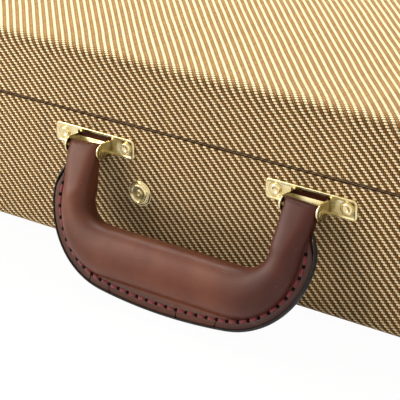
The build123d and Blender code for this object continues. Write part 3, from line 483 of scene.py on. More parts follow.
TWEED = tweed_material()
LEATHER = leather_material()
# a darker copy of the leather for the flange beside the tube: painted shade
LEATHER_FLANGE_PAINTED_SHADE = leather_material("leather_flange_painted_shade", 0.62)
# a dark leather colour for the strips behind the bracket windows and along the ear creases: painted shade
LEATHER_PAINTED_SHADE_BACK = leather_material("leather_painted_shade_back", 0.9)
BRASS = brass_material()
# duller, darker brass: a duller finish for pins, rivets and lips, and painted shade on the bracket field right
# of each crease
BRASS_DULL_AND_PAINTED_SHADE = brass_material("brass_dull_and_painted_shade", (0.2, 0.34), 0.72)
# much darker brass for the cup washers' dishes: painted shade in the hollow
BRASS_DISH_PAINTED_SHADE = brass_material("brass_dish_painted_shade", (0.34, 0.48), 0.42)
# darker brass for the ears' flat sides: painted shade
BRASS_EAR_PAINTED_SHADE = brass_material("brass_ear_painted_shade", (0.22, 0.34), 0.45)
THREAD = thread_material()
PLUSH = plush_material()
PLUSH_PAD = plush_material("plush_pad", (0.92, 0.9, 0.9))
PLUSH_CORD = plush_material("plush_cord", (0.45, 0.42, 0.42))
WOOD = wood_material()
EDGE_PAINT = plain_material(
    "edge_paint", (160.0, 3.0, 0.6), (0.007, 0.007, 0.007), (0.018, 0.019, 0.019), (0.7, 0.56),
    ((700.0, 3.0, 0.6), 0.00012, 0.6), Specular_IOR_Level=0.3,
)
STEEL = plain_material(
    "steel", (1.0, 3.0, 0.6, (60.0, 1200.0, 1200.0)), (0.42, 0.42, 0.41), (0.58, 0.58, 0.57), (0.22, 0.38),
    (None, 0.00002, 0.5), Metallic=1.0,
)
RUBBER = plain_material(
    "rubber", (220.0, 3.0, 0.6), (0.018, 0.018, 0.018), (0.035, 0.035, 0.034), (0.7, 0.52),
    ((1500.0, 2.0, 0.5), 0.0001, 0.6),
)
# near-black colour for stitch holes and relief cuts: painted shade
STITCH_HOLE_SHADE = plain_material(
    "stitch_hole_shade", (900.0, 2.0, 0.5), (0.006, 0.003, 0.002), (0.016, 0.006, 0.005), 0.95,
    Specular_IOR_Level=0.05,
)
# cloth turned into the joint between lid and base, glued down, and painted dark: painted shade in the joint
SEAM_SHADE = plain_material(
    "turned_cloth_painted_shade", (800.0, 2.0, 0.6), (0.020, 0.010, 0.005), (0.050, 0.026, 0.012), 0.95,
    ((1500.0, 2.0, 0.5), 0.0002, 0.6), Specular_IOR_Level=0.1,
)
CORE = plain_material("handle_core", (120.0, 3.0, 0.6), (0.05, 0.03, 0.02), (0.10, 0.06, 0.04), 0.8)

# each slot's finish
FINISHES = {
    "brass": BRASS, "steel": STEEL, "rubber": RUBBER, "plywood": WOOD, "plush": PLUSH, "lip_plush": PLUSH,
    "padding": PLUSH_PAD, "pocket_board": PLUSH, "core": CORE, "leather": LEATHER, "binding": EDGE_PAINT,
    "tweed": TWEED,
}


# Camera at the photograph's viewpoint
camera = add_object("camera", bpy.data.cameras.new("camera"))
bpy.context.scene.camera = camera
psi, pitch, roll = math.radians(35.72), math.radians(25.36), math.radians(-1.15)
look = Vector((-math.sin(psi) * math.cos(pitch), math.cos(psi) * math.cos(pitch), -math.sin(pitch)))
right = Vector((math.cos(psi), math.sin(psi), 0.0))
up = right.cross(look)
rolled = (right * math.cos(roll) + up * math.sin(roll), up * math.cos(roll) - right * math.sin(roll), -look)
stance = Matrix(rolled).transposed().to_4x4()
stance.translation = Vector((0.4818, FRONT * MM - 0.6699, 0.4469))
camera.matrix_world = stance
camera.data.sensor_width = 36.0
camera.data.lens = 147.05
camera.data.clip_start = 0.05
camera.data.clip_end = 20.0


# Lamps, world and floor
def area_lamp(name, place, target, size, power, colour):
    data = bpy.data.lights.new(name, "AREA")
    data.energy = power
    data.color = colour
    data.shape = "RECTANGLE"
    data.size = data.size_y = size
    lamp = add_object(name, data)
    lamp.location = place
    lamp.rotation_mode = "QUATERNION"
    lamp.rotation_quaternion = (Vector(target) - Vector(place)).to_track_quat("-Z", "Y")
    lamp.visible_camera = False


area_lamp("lamp_top", (-0.75, 0.75, 1.45), (0.0, -0.05, 0.1), 1.3, 86.0, (1.0, 0.96, 0.91))
area_lamp("lamp_left", (-0.95, -0.80, 0.62), (-0.05, -0.17, 0.06), 0.85, 13.6, (1.0, 0.92, 0.81))
area_lamp("lamp_right", (1.3, -1.3, 0.9), (0.1, -0.1, 0.05), 0.9, 0.8, (1.0, 0.97, 0.93))

AMBIENT = 0.27
FLOOR_GLOW = 0.97
FLOOR_HALF = 9000
WHITE = (1.0, 1.0, 1.0, 1.0)

world = bpy.data.worlds.new("studio")
bpy.context.scene.world = world
g = Graph(world)
strength = g.node("MapRange", {"Value": g.seen(), "To Min": AMBIENT, "To Max": 1.0})
g.node("OutputWorld", (g.node("Background", (WHITE, strength)),))

corners = [(x * FLOOR_HALF, y * FLOOR_HALF, 0) for x, y in ((-1, -1), (1, -1), (1, 1), (-1, 1))]
floor = new_mesh("floor", corners, [(0, 1, 2, 3)], False)
g, floor_white = new_material("floor_white")
share = g.times(g.seen(), FLOOR_GLOW)
matt = g.node("BsdfDiffuse", {"Color": (0.92, 0.92, 0.92)})
glow = g.node("Emission", (WHITE, 1.0))
g.node("OutputMaterial", (g.node("MixShader", (share, matt, glow)),))
paint(floor, floor_white)
bpy.context.scene.view_settings.view_transform = "Standard"


# Tweed cloth over the lid and the base, one piece each, with folded corners
def outline_points(steps=12, run=60.0):
    """Points round the case: (place, unit out, corner number, angle round that corner in degrees)."""
    half_l, half_w = CASE_L / 2 - CORNER, CASE_W / 2 - CORNER
    corners = [Vector(c) for c in ((half_l, -half_w), (half_l, half_w), (-half_l, half_w), (-half_l, -half_w))]
    points = []
    for number, centre in enumerate(corners):
        start = 90.0 * (number - 1)
        # straight run that leads to this corner
        out = Vector((math.cos(math.radians(start)), math.sin(math.radians(start))))
        a = corners[number - 1] + out * CORNER
        b = centre + out * CORNER
        count = max(2, int((b - a).length / run))
        for k in range(1, count):
            points.append((a.lerp(b, k / count), out, number, 0.0))
        for k in range(steps + 1):
            turn = math.radians(start + 90.0 * k / steps)
            out = Vector((math.cos(turn), math.sin(turn)))
            points.append((centre + out * CORNER, out, number, 90.0 * k / steps))
    return points


def cloth_uv(side, along, travel):
    """Cloth coordinates in metres of a point that is travel mm past the panel's edge, on one of four sides."""
    if side % 2:
        past = CASE_L / 2 - EDGE + travel
        return (past if side == 1 else -past) * MM, along * MM
    return along * MM, (REAR - EDGE + travel if side else FRONT + EDGE - travel) * MM


def along_side(point, number, angle, side):
    """Arc length along one side of the case, as x or y continued round the corner."""
    axis, way = side % 2, 1 if side < 2 else -1
    half = (CASE_W if axis else CASE_L) / 2 - CORNER
    arc = math.radians(angle) * CORNER
    if number != side:
        place = -way * (half + CORNER * math.pi / 2 - arc)
    elif angle == 0.0 and point[axis] * way < half:
        place = point[axis]
    else:
        place = way * (half + arc)
    return place + MID_Y * axis


FOLD = 0.45
FOLD_FROM, FOLD_TO = 45.0, 75.0
SEAM_TURNS = 4


def shell(name, profile, cap_z, cap_travel, base=False):
    """A cloth skin: profile rows of (inset, z, travel), then a flat panel over the last row. cap_z is not used.
    """
    points = outline_points()
    n = len(points)
    verts, faces, uvs = [], [], []
    for inset, z, _ in profile:
        for place, out, _, angle in points:
            fold = 0.0
            if FOLD_FROM < angle < FOLD_TO and inset < EDGE - 1.0:
                fold = FOLD * (1.0 - (angle - FOLD_FROM) / (FOLD_TO - FOLD_FROM))
            p = place - out * (inset - fold)
            verts.append((p.x, p.y + MID_Y, z))

    def side_of(a, b):
        _, _, number, angle = points[a]
        _, _, next_number, next_angle = points[b]
        if next_angle == 0.0:
            return (number + 1) % 4 if angle == 90.0 else next_number
        return number if (angle + next_angle) / 2 < 45.0 else (number + 1) % 4

    for row in range(len(profile) - 1):
        for a in range(n):
            b = (a + 1) % n
            side = side_of(a, b)
            quad = [(row, a), (row, b), (row + 1, b), (row + 1, a)]
            faces.append(tuple(r * n + c for r, c in quad))
            loop = []
            for r, c in quad:
                place, _, number, angle = points[c]
                loop.append(cloth_uv(side, along_side(place, number, angle, side), profile[r][2]))
            uvs.append(loop)
    panel = verts[-n:]
    faces.append(tuple(range(len(verts) - n, len(verts))))
    if base:
        uvs.append([(x * MM, (2 * (FRONT + EDGE) - cap_travel - y) * MM) for x, y, _ in panel])
    else:
        uvs.append([(x * MM, y * MM) for x, y, _ in panel])
    obj = new_mesh(name, verts, faces)
    layer = obj.data.uv_layers.new(name="cloth")
    for poly, loop in zip(obj.data.polygons, uvs):
        for li, uv in zip(poly.loop_indices, loop):
            layer.data[li].uv = uv
    obj.data.polygons[-1].use_smooth = False
    body = "base" if base else "lid"
    dress(obj, body, "tweed", [body + "_covering"], TWEED, SEAM_SHADE)
    # the rows turned into the joint take the dark cloth: painted shade
    for k in range(SEAM_TURNS * n):
        obj.data.polygons[k].material_index = 1
    outward(obj)


FULLNESS = 0.6
EDGE_STEPS = 12


def edge_rows():
    """The rounded edge from the wall to the panel: (inset, rise, length of cloth back to the panel)."""
    points = []
    for k in range(EDGE_STEPS + 1):
        a = math.pi / 2 * k / EDGE_STEPS
        points.append((EDGE * (1 - math.cos(a) ** FULLNESS), EDGE * math.sin(a) ** FULLNESS))
    rows, travel = [], 0.0
    for k in range(EDGE_STEPS, -1, -1):
        if k < EDGE_STEPS:
            travel += math.dist(points[k], points[k + 1])
        rows.append((*points[k], travel))
    return rows[::-1]


EDGE_ROWS = edge_rows()
TOP_TRAVEL = EDGE_ROWS[0][2]
WALL_TRAVEL = TOP_TRAVEL + TOP - EDGE
ROLL = 1.15
SEAM_TURN = 0.02
TUCK = 7.6


def seam_rows(rim, way):
    """Rows of cloth tucked into the seam and rolled round a rim; way is 1 for the lid and -1 for the base."""
    rows = [(TUCK, rim - way * SEAM_TURN, WALL_TRAVEL - rim + way * TUCK)]
    for k in range(SEAM_TURNS + 1):
        a = math.pi / 2 * k / SEAM_TURNS
        rise = way * ROLL * (1 - math.cos(a))
        rows.append((ROLL - ROLL * math.sin(a), rim - way * SEAM_TURN + rise, WALL_TRAVEL - rim - rise))
    return rows


lid_rows = seam_rows(RIM_LID, 1) + [(0.0, z, WALL_TRAVEL - z) for z in (98.0, 106.0)]
lid_rows += [(inset, TOP - EDGE + rise, travel) for inset, rise, travel in EDGE_ROWS]
shell("lid_tweed", lid_rows, TOP, 0.0)

BASE_EDGE = BASE_Z + EDGE
LOW_TRAVEL = WALL_TRAVEL - BASE_EDGE
base_rows = seam_rows(RIM_BASE, -1) + [(0.0, z, WALL_TRAVEL - z) for z in (78.0, 60.0, 40.0, 28.0)]
for inset, rise, travel in EDGE_ROWS:
    base_rows.append((inset, BASE_EDGE - rise, LOW_TRAVEL + (TOP_TRAVEL - travel)))
shell("base_tweed", base_rows, BASE_Z, LOW_TRAVEL + TOP_TRAVEL, base=True)


# Handle: leather tube with a stitched flange
LEAN = math.radians(3.5)
ARM = 26.5
ARM_HALF = 9.7
ARM_THICK = 9.3
GRIP_DEPTH = 54.1
GRIP_HALF = 15.5
GRIP_THICK = 11.0
END_R = 4.2
BEND = (GRIP_DEPTH - ARM * math.cos(LEAN)) / (1 - math.sin(LEAN))
bend_x = SPAN - ARM * math.sin(LEAN) - BEND * math.cos(LEAN)
bend_w = ARM * math.cos(LEAN) - BEND * math.sin(LEAN)
CROWN_W = 78.6
CROWN_HALF = 43.0
CROWN_SAG = 2.8
SHOULDER = (88.3, 30.5)
FLANGE_END = (83.0, 10.5)


def tangent_arc(start, tangent, end, steps):
    """Points of the circular arc that leaves start along tangent and reaches end, and its last direction."""
    chord = end - start
    normal = Vector((-tangent.y, tangent.x))
    radius = chord.length_squared / (2 * normal.dot(chord))
    centre = start + normal * radius
    a0 = math.atan2(start.y - centre.y, start.x - centre.x)
    a1 = math.atan2(end.y - centre.y, end.x - centre.x)
    sweep = (a1 - a0 + math.pi) % (2 * math.pi) - math.pi
    pts = []
    for k in range(1, steps + 1):
        a = a0 + sweep * k / steps
        pts.append(Vector((centre.x + abs(radius) * math.cos(a), centre.y + abs(radius) * math.sin(a))))
    last = a0 + sweep + math.copysign(math.pi / 2, sweep)
    return pts, Vector((math.cos(last), math.sin(last)))


def flange_outline():
    """The flange's outer edge in the handle's plane, from its left end round to its right end."""
    radius = (CROWN_HALF ** 2 + CROWN_SAG ** 2) / (2 * CROWN_SAG)
    centre = Vector((0.0, CROWN_W - radius))
    half = math.asin(CROWN_HALF / radius)
    crown = []
    for k in range(25):
        a = -half + 2 * half * k / 24
        crown.append(centre + Vector((math.sin(a), math.cos(a))) * radius)
    tangent = Vector((math.cos(half), -math.sin(half)))
    side, direction = tangent_arc(crown[-1], tangent, Vector(SHOULDER), 24)
    top, _ = tangent_arc(side[-1], direction, Vector(FLANGE_END), 10)
    right_half = side + top
    return [Vector((-p.x, p.y)) for p in reversed(right_half)] + crown + right_half


OUTLINE = flange_outline()


def resampled(points, spacing):
    """Points at equal steps along a polyline, with the unit direction at each."""
    lengths = [0.0]
    for a, b in zip(points, points[1:]):
        lengths.append(lengths[-1] + (b - a).length)
    count = max(2, int(round(lengths[-1] / spacing)))
    result = []
    k = 0
    for step in range(count + 1):
        want = lengths[-1] * step / count
        while k < len(points) - 2 and lengths[k + 1] < want:
            k += 1
        part = (want - lengths[k]) / max(1e-9, lengths[k + 1] - lengths[k])
        result.append(points[k].lerp(points[k + 1], part))
    ends = zip([result[0]] + result[:-1], result[1:] + [result[-1]])
    return result, [(b - a).normalized() for a, b in ends]


def ray_to_outline(origin, ray):
    """Distance from origin along ray to the flange's outline, or None."""
    best = None
    for a, b in zip(OUTLINE, OUTLINE[1:]):
        edge = b - a
        det = ray.x * -edge.y + ray.y * edge.x
        if abs(det) < 1e-9:
            continue
        d = a - origin
        t = (d.x * -edge.y + d.y * edge.x) / det
        s = (ray.x * d.y - ray.y * d.x) / det
        if t > 0 and -1e-6 <= s <= 1 + 1e-6 and (best is None or t < best):
            best = t
    return best


def inward(p, d):
    """The unit normal at an outline's point that looks to the handle's middle."""
    normal = Vector((-d.y, d.x))
    return -normal if normal.dot(Vector((0, 30)) - p) < 0 else normal


def at_handle(x, w, n):
    return PIVOT + Vector((x, 0, 0)) + DOWN * w + OUT * n


def in_plane(d):
    """A direction of the handle's plane in space."""
    return (Vector((1, 0, 0)) * d.x + DOWN * d.y).normalized()


def smooth(a, b, x):
    t = min(1.0, max(0.0, (x - a) / (b - a)))
    return t * t * (3 - 2 * t)


PAST_ARM = 99.0


def grip_path():
    """Stations from the right end to the middle: x, w, turn, half width, half thickness, way along the arm."""
    rows = []
    wide = ARM_HALF + 0.5
    for k in range(9):
        a = math.pi / 2 * k / 8
        w = -END_R * math.cos(a)
        rows.append((SPAN, w, LEAN, wide, max(0.35, END_R * math.sin(a)), w))
    for k in range(1, 9):
        along = ARM * k / 9
        thick = END_R + (ARM_THICK - END_R) * min(1.0, along / 25.0) ** 0.9
        rows.append((SPAN - along * math.sin(LEAN), along * math.cos(LEAN), LEAN, wide, thick, along))
    for k in range(19):
        turn = LEAN + k / 18 * (math.pi / 2 - LEAN)
        grown = smooth(0, 1, k / 18)
        rows.append((
            bend_x + BEND * math.cos(turn), bend_w + BEND * math.sin(turn), turn,
            wide + grown * (GRIP_HALF - ARM_HALF - 0.5), ARM_THICK + grown * (GRIP_THICK - ARM_THICK), PAST_ARM,
        ))
    for k in range(1, 9):
        rows.append((bend_x * (1 - k / 8), GRIP_DEPTH, math.pi / 2, GRIP_HALF, GRIP_THICK, PAST_ARM))
    return rows


LAP = 1.75
TUBE_POINTS = 17


def leather_ring(x, w, turn, half, thick, along, side):
    """One closed ring of the leather: round on the inner side, a flange on the outer side."""
    out = Vector((math.cos(turn), math.sin(turn)))
    reach = ray_to_outline(Vector((x, w)), out) if along > 9.0 else None
    outer = half - 0.9 * smooth(6.0, 24.0, along) - 0.6 * smooth(0.9, 1.45, turn)
    flange = outer
    if reach is not None:
        flange += max(0.0, reach - 1.2 - outer) * smooth(9.0, 24.0, along)
    lap = LAP if along > 9.0 else min(LAP, thick * 0.95)
    inner_power = 2.9 if along < 30.0 else 2.35
    outer_power = 2.9 - 0.95 * smooth(4.0, 22.0, along)
    # outer edge of the flange, the valley beside the stitches, then the round of the tube
    wide = flange - outer
    profile = [(flange, lap * 0.35), (flange - min(0.35, 0.3 + wide * 0.1), lap * 0.85)]
    profile += [(outer + wide * q, lap * n) for q, n in ((0.72, 1.0), (0.40, 0.97), (0.14, 0.80))]
    for k in range(TUBE_POINTS):
        a = math.pi * (0.035 + (0.965 * k / (TUBE_POINTS - 1)))
        c = math.cos(a)
        power = outer_power if c > 0 else inner_power
        q = (outer if c > 0 else half) * math.copysign(abs(c) ** (2 / power), c)
        n = thick * abs(math.sin(a)) ** (2 / power)
        if q > 0:
            n = max(n, lap * 0.80 if wide > 0.6 else 0.0)
        profile.append((q, n))
    both = profile + [(q, -n) for q, n in reversed(profile[:-1])]
    return [at_handle(side * (x + out.x * q), w + out.y * q, n) for q, n in both]


def grip_leather():
    rows = grip_path()
    rings = [leather_ring(*row, 1) for row in rows]
    rings += [leather_ring(*row, -1) for row in reversed(rows[:-1])]
    obj = new_mesh("handle_leather", *loft(rings))
    dress(obj, "handle", "leather", ["grip_cover", "grip_core"], LEATHER, LEATHER_FLANGE_PAINTED_SHADE)
    n = len(rings[0])
    # the flange's faces on both sides take the darker leather: painted shade
    for k in range((len(rings) - 1) * n):
        if k % n < 4 or k % n >= n - 5:
            obj.data.polygons[k].material_index = 1
    outward(obj)
    subdivide(obj, 2)


grip_leather()

BINDING_STEP = 2.2
BINDING = ((0.15, 1.15), (0.5, 1.75), (0.95, 1.9), (1.4, 1.7))


def edge_piece():
    """The painted edge of the two leathers, rounded, and thinned out at both ends."""
    pts, dirs = resampled(OUTLINE, BINDING_STEP)
    section = [(0.0, 0.0), *BINDING, (1.5, 0.0)] + [(q, -n) for q, n in reversed(BINDING)]
    rings = []
    for k, (p, d) in enumerate(zip(pts, dirs)):
        size = 0.25 + 0.75 * smooth(0, 12, min(k, len(pts) - 1 - k) * BINDING_STEP)
        rings.append([at_handle(*(p + inward(p, d) * q), n * size) for q, n in section])
    obj = new_mesh("handle_edge", *loft(rings))
    outward(obj)
    dress(obj, "handle", "binding", ["edge_binding"], EDGE_PAINT)
    subdivide(obj, 1)


edge_piece()

STITCH_INSET = 5.7
STITCH_PITCH = 6.7
STITCH_FROM = 22.5
STITCH_GAP = 1.7
THREAD_RADIUS = 1.05
FLANGE_CUTS = (0.3, 0.345, 0.56, 0.67)
# rows of (place along the thread, size)
CAPSULE = (
    (-0.5, 0.15), (-0.46, 0.6), (-0.36, 0.92), (-0.12, 1.0), (0.12, 1.0), (0.36, 0.92), (0.46, 0.6), (0.5, 0.15),
)


def capsule(centre, along, up_dir, length, radius, flat):
    """A rounded thread segment."""
    side = along.cross(up_dir).normalized()
    rings = []
    for part, size in CAPSULE:
        dip = -0.35 * radius * (abs(part) * 2) ** 3
        rings.append([
            centre + along * (length * part) + side * (math.cos(a) * radius * size)
            + up_dir * (math.sin(a) * radius * size * flat + dip)
            for a in (2 * math.pi * k / 8 for k in range(8))
        ])
    return loft(rings)


def stitching():
    """Red stitches on both faces of the flange, with near-black discs at their holes and dark relief cuts beside
    them, painted shade.
    """
    inset = [p + inward(p, d) * STITCH_INSET for p, d in zip(*resampled(OUTLINE, 1.0))]
    pts, _ = resampled([p for p in inset if p.y > STITCH_FROM], STITCH_PITCH)
    threads, painted_hole_shades = [], []
    for face in (1.0, -1.0):
        normal = OUT * face
        for a, b in zip(pts, pts[1:]):
            centre = at_handle(*((a + b) / 2), 1.70 * face)
            length = (b - a).length - STITCH_GAP
            threads.append(capsule(centre, in_plane((b - a).normalized()), normal, length, THREAD_RADIUS, 0.6))
        for p in pts:
            disc = [(0.0, 2.02), (0.7, 2.0), (1.0, 1.9), (1.15, 1.5)]
            painted_hole_shades.append(revolved(disc, at_handle(*p, 0.0), normal, 16))
        # relief cuts from the stitches to the edge, painted dark as the shade inside them
        for part in FLANGE_CUTS:
            p = pts[int(part * (len(pts) - 1))]
            q = min(OUTLINE, key=lambda c: (c - p).length)
            across = (q - p).normalized()
            centre = at_handle(*(p + across * ((q - p).length * 0.55)), 1.62 * face)
            painted_hole_shades.append(capsule(centre, in_plane(across), normal, (q - p).length * 0.8, 0.3, 0.9))
    dress(joined("handle_stitches", threads), "handle", "leather", None, THREAD)
    dress(joined("handle_stitch_hole_shades", painted_hole_shades), "handle", "leather", None, STITCH_HOLE_SHADE)


stitching()


# Brass: brackets, rivets, cup washers
def rounded_rectangle(half_x, half_z, radius, steps=8):
    """Points round a rectangle with round corners, anticlockwise."""
    points = []
    for number, (sx, sz) in enumerate(((1, -1), (1, 1), (-1, 1), (-1, -1))):
        centre = Vector((sx * (half_x - radius), sz * (half_z - radius)))
        for k in range(steps + 1):
            a = math.radians(-90.0 + 90.0 * number + 90.0 * k / steps)
            points.append(centre + Vector((math.cos(a), math.sin(a))) * radius)
    return points


def circle_points(x, radius, steps=36):
    turns = [2 * math.pi * k / steps for k in range(steps)]
    return [Vector((x + radius * math.cos(a), radius * math.sin(a))) for a in turns]


def filled(loops):
    """Points and triangles of the region inside the first loop and outside the others."""
    points, edges = [], []
    for loop in loops:
        start = len(points)
        points += [Vector((p.x, p.y)) for p in loop]
        edges += [(start + k, start + (k + 1) % len(loop)) for k in range(len(loop))]
    verts, _, faces, _, _, _ = delaunay_2d_cdt(points, edges, [], 0, 1e-5)

    def inside(p, loop):
        hit = False
        for a, b in zip(loop, loop[1:] + loop[:1]):
            if (a.y > p.y) != (b.y > p.y) and p.x < (b.x - a.x) * (p.y - a.y) / (b.y - a.y) + a.x:
                hit = not hit
        return hit

    kept = []
    for face in faces:
        centre = sum((verts[i] for i in face), Vector((0.0, 0.0))) / len(face)
        if inside(centre, loops[0]) and not any(inside(centre, loop) for loop in loops[1:]):
            kept.append(tuple(face))
    return verts, kept


PLATE_HALF = (28.5, 6.1)
PLATE_OUT = 1.4
FIELD_OUT = 1.05
RECESS_OUT = 0.55
RIVET_X = 22.3
RECESS_R = 4.4
EAR_X = 11.5
EAR_Z = SEAM - 16.5
EAR_OUT = 9.2
EAR_R = 5.0
WINDOW = (-10.9, 4.0, 3.2)
NOTCH = (12.3, 2.3, 4.0)
CREASE_X = 12.5
BRACKET_XS = (-SPAN, SPAN)
# rows of (inset, out): side wall, rounded outer edge, crest, rounded step down to the field
RIM = (
    (0.0, 0.0), (0.0, 0.95), (0.06, 1.15), (0.2, 1.3), (0.42, PLATE_OUT), (1.0, PLATE_OUT), (1.2, 1.33),
    (1.38, 1.16), (1.62, FIELD_OUT),
)
# rows of (radius, out) from the field into a rivet's recess
RECESS = (
    (RECESS_R, FIELD_OUT), (4.28, FIELD_OUT - 0.06), (4.1, RECESS_OUT + 0.08), (3.95, RECESS_OUT),
    (1.6, RECESS_OUT),
)
# rows of (x, inset) through an ear's thickness
EAR = ((-0.6, 0.5), (-0.58, 0.34), (-0.48, 0.1), (-0.3, 0.0), (0.3, 0.0), (0.48, 0.1), (0.58, 0.34), (0.6, 0.5))


def bracket_parts(centre):
    """A bracket's plate with a raised rim, a sunken field, rivet recesses and a window, and its two ears."""
    parts = []

    def at_plate(p, out):
        return Vector((centre + p.x, FRONT - out, PLATE_Z + p.y))

    def band(outer, out_a, inner, out_b):
        n = len(outer)
        parts.append((
            [at_plate(p, out_a) for p in outer] + [at_plate(p, out_b) for p in inner],
            [(k, (k + 1) % n, n + (k + 1) % n, n + k) for k in range(n)],
        ))

    loops = [rounded_rectangle(PLATE_HALF[0] - i, PLATE_HALF[1] - i, max(0.7, 2.6 - i * 0.7)) for i, _ in RIM]
    for a, (_, out_a), b, (_, out_b) in zip(loops, RIM, loops[1:], RIM[1:]):
        band(a, out_a, b, out_b)
    recesses = [circle_points(side * RIVET_X, RECESS_R) for side in (-1, 1)]
    end, low, high = -WINDOW[0], -WINDOW[1], WINDOW[2]
    notch, notch_low, notch_high = NOTCH
    window = [Vector(q) for q in (
        (-end, low), (end, low), (end, notch_low), (notch, notch_low), (notch, notch_high),
        (end - 0.3, notch_high), (end - 0.3, high), (0.3 - end, high), (0.3 - end, notch_high),
        (-notch, notch_high), (-notch, notch_low), (-end, notch_low),
    )]
    verts, faces = filled([loops[-1]] + recesses + [window])
    parts.append(([at_plate(p, FIELD_OUT) for p in verts], faces))
    band(window, FIELD_OUT, window, 0.0)
    for side in (-1, 1):
        for (ra, out_a), (rb, out_b) in zip(RECESS, RECESS[1:]):
            band(circle_points(side * RIVET_X, ra), out_a, circle_points(side * RIVET_X, rb), out_b)
    # ears, bent out at the window's ends
    outline = [Vector(q) for q in ((0.2, 4.2), (3.0, 4.5), (6.2, 4.8))]
    for k in range(19):
        a = math.radians(88.0 - 180.0 * k / 18)
        outline.append(Vector((EAR_OUT + EAR_R * math.cos(a), EAR_R * math.sin(a))))
    outline += [Vector(q) for q in ((6.2, -4.8), (3.0, -4.6), (0.2, -4.4))]
    middle = Vector((7.0, 0.0))
    for side in (-1, 1):
        rings = []
        for x, inset in EAR:
            ring = [p - (p - middle).normalized() * inset for p in outline]
            rings.append([Vector((centre + side * EAR_X + x, FRONT - q.x, EAR_Z + q.y)) for q in ring])
        parts.append(loft(rings))
    return parts


for side, centre in zip(("left", "right"), BRACKET_XS):
    plate = joined(f"handle_bracket_{side}", bracket_parts(centre))
    plate.data.set_sharp_from_angle(angle=math.radians(32.0))
    dress(plate, "base", "brass", [f"bracket_{side}"], BRASS, BRASS_DULL_AND_PAINTED_SHADE, BRASS_EAR_PAINTED_SHADE)
    for face in plate.data.polygons:
        x, y, z = face.center / MM
        if y < FRONT - PLATE_OUT - 0.05:
            # the ears' flat sides take the darker ear brass: painted shade
            face.material_index = 2 if abs(face.normal.x) > 0.9 else 0
        elif z < PLATE_Z + PLATE_HALF[1] - 2.9 and y > FRONT - FIELD_OUT - 0.1 and face.normal.y < -0.5:
            # the field right of each crease takes the dull brass: painted shade
            face.material_index = 1 if x > centre + NOTCH[0] - 0.2 else 0


def strip(x, half, low, high, out, slope=0.0):
    """An upright rectangle in front of the wall, whose lower edge may stand out further."""
    corners = ((-half, low, slope), (half, low, slope), (half, high, 0.0), (-half, high, 0.0))
    return [Vector((x + dx, FRONT - out - rise, PLATE_Z + z)) for dx, z, rise in corners], [(0, 1, 2, 3)]


# dark strips behind each window and along each ear's crease: painted shade
painted_shade_strips, lips = [], []
for centre in BRACKET_XS:
    painted_shade_strips.append(strip(centre, 11.2, -WINDOW[1] - 0.4, WINDOW[2] + 0.9, 0.12))
    for side in (-1, 1):
        painted_shade_strips.append(strip(centre + side * CREASE_X, 0.16, -PLATE_HALF[1] + 1.7, NOTCH[1], FIELD_OUT + 0.03))
    lips.append(strip(centre, 11.2, -WINDOW[1] + 0.1, 0.2, 0.25, 2.2))
dress(joined("bracket_painted_shade_strips", painted_shade_strips), "base", "brass", None, LEATHER_PAINTED_SHADE_BACK)
dress(joined("bracket_lower_lips", lips), "base", "brass", None, BRASS_DULL_AND_PAINTED_SHADE)

RIVET = (
    (0.0, 0.35), (0.7, 0.36), (1.1, 0.5), (1.5, 0.85), (1.9, 1.12), (2.3, 1.2), (2.7, 1.08), (3.05, 0.75),
    (3.25, 0.35), (3.3, 0.0),
)
rivets = [
    revolved(RIVET, (centre + side * RIVET_X, FRONT - RECESS_OUT, PLATE_Z), (0, -1, 0), 36)
    for centre in BRACKET_XS for side in (-1, 1)
]
dress(joined("bracket_rivet_heads", rivets), "base", "brass", ["bracket_rivets"], BRASS)

CUP_X = -42.0
CUP_Z = SEAM - 41.0
for name, node, material, steps, profile in (
    ("cup_washer_rings", "cup_washers", BRASS, 48, (
        (7.8, 0.0), (7.8, 0.35), (7.5, 0.62), (7.0, 0.60), (6.7, 0.42), (6.35, 0.75), (6.1, 1.5), (5.75, 2.2),
        (5.3, 2.5), (4.85, 2.35), (4.5, 1.75),
    )),
    ("cup_washer_dishes", "cup_washers", BRASS_DISH_PAINTED_SHADE, 48, (
        (4.5, 1.75), (4.1, 1.25), (3.5, 0.95), (2.6, 0.86), (1.7, 0.85),
    )),
    ("cradle_rivet_heads", "cradle_rivets", BRASS_DULL_AND_PAINTED_SHADE, 32, (
        (0.0, 0.9), (0.5, 0.92), (0.72, 1.1), (0.85, 1.55), (1.2, 1.82), (1.8, 1.80), (2.3, 1.5), (2.55, 1.1),
        (2.6, 0.85),
    )),
):
    parts = [revolved(profile, (CUP_X, y, CUP_Z), (0, way, 0), steps) for y, way in ((FRONT, -1), (REAR, 1))]
    dress(joined(name, parts), "base", "brass", [node], material)

# Latches, hinges, feet and small metal: the CAD's own forms with their edges broken
small = [
    ("latch_plates", 0.25, "base", "brass"),
    ("strikes", 0.22, "lid", "brass"),
    ("hinge_base_leaves", 0.3, "base", "brass"),
    ("hinge_lid_leaves", 0.3, "lid", "brass"),
    ("hinge_pins", 0.25, "base", "steel"),
    ("key_plug", 0.2, "key", "brass"),
    ("latch_rivets", 0.3, "base", "brass"),
    ("strike_rivets", 0.3, "lid", "brass"),
    ("hinge_base_rivets", 0.3, "base", "brass"),
    ("hinge_lid_rivets", 0.3, "lid", "brass"),
    ("handle_pins", 0.2, "base", "brass"),
    ("bottom_feet", 0.4, "base", "rubber"),
    ("spine_feet", 0.4, "base", "rubber"),
]
for number in range(1, 5):
    small += [
        (f"latch_lever_{number}", 0.3, f"lever_{number}", "brass"),
        (f"latch_bail_{number}", 0.3, f"bail_{number}", "brass"),
        (f"latch_bail_pin_{number}", 0.2, f"lever_{number}", "steel"),
    ]
for node, width, body, slot in small:
    material = BRASS_DULL_AND_PAINTED_SHADE if node == "handle_pins" else FINISHES[slot]
    dress(bevelled(node, "fine_" + node, width), body, slot, [node], material)

# Plush and padding inside
PLUSH_WAVE = 0.1


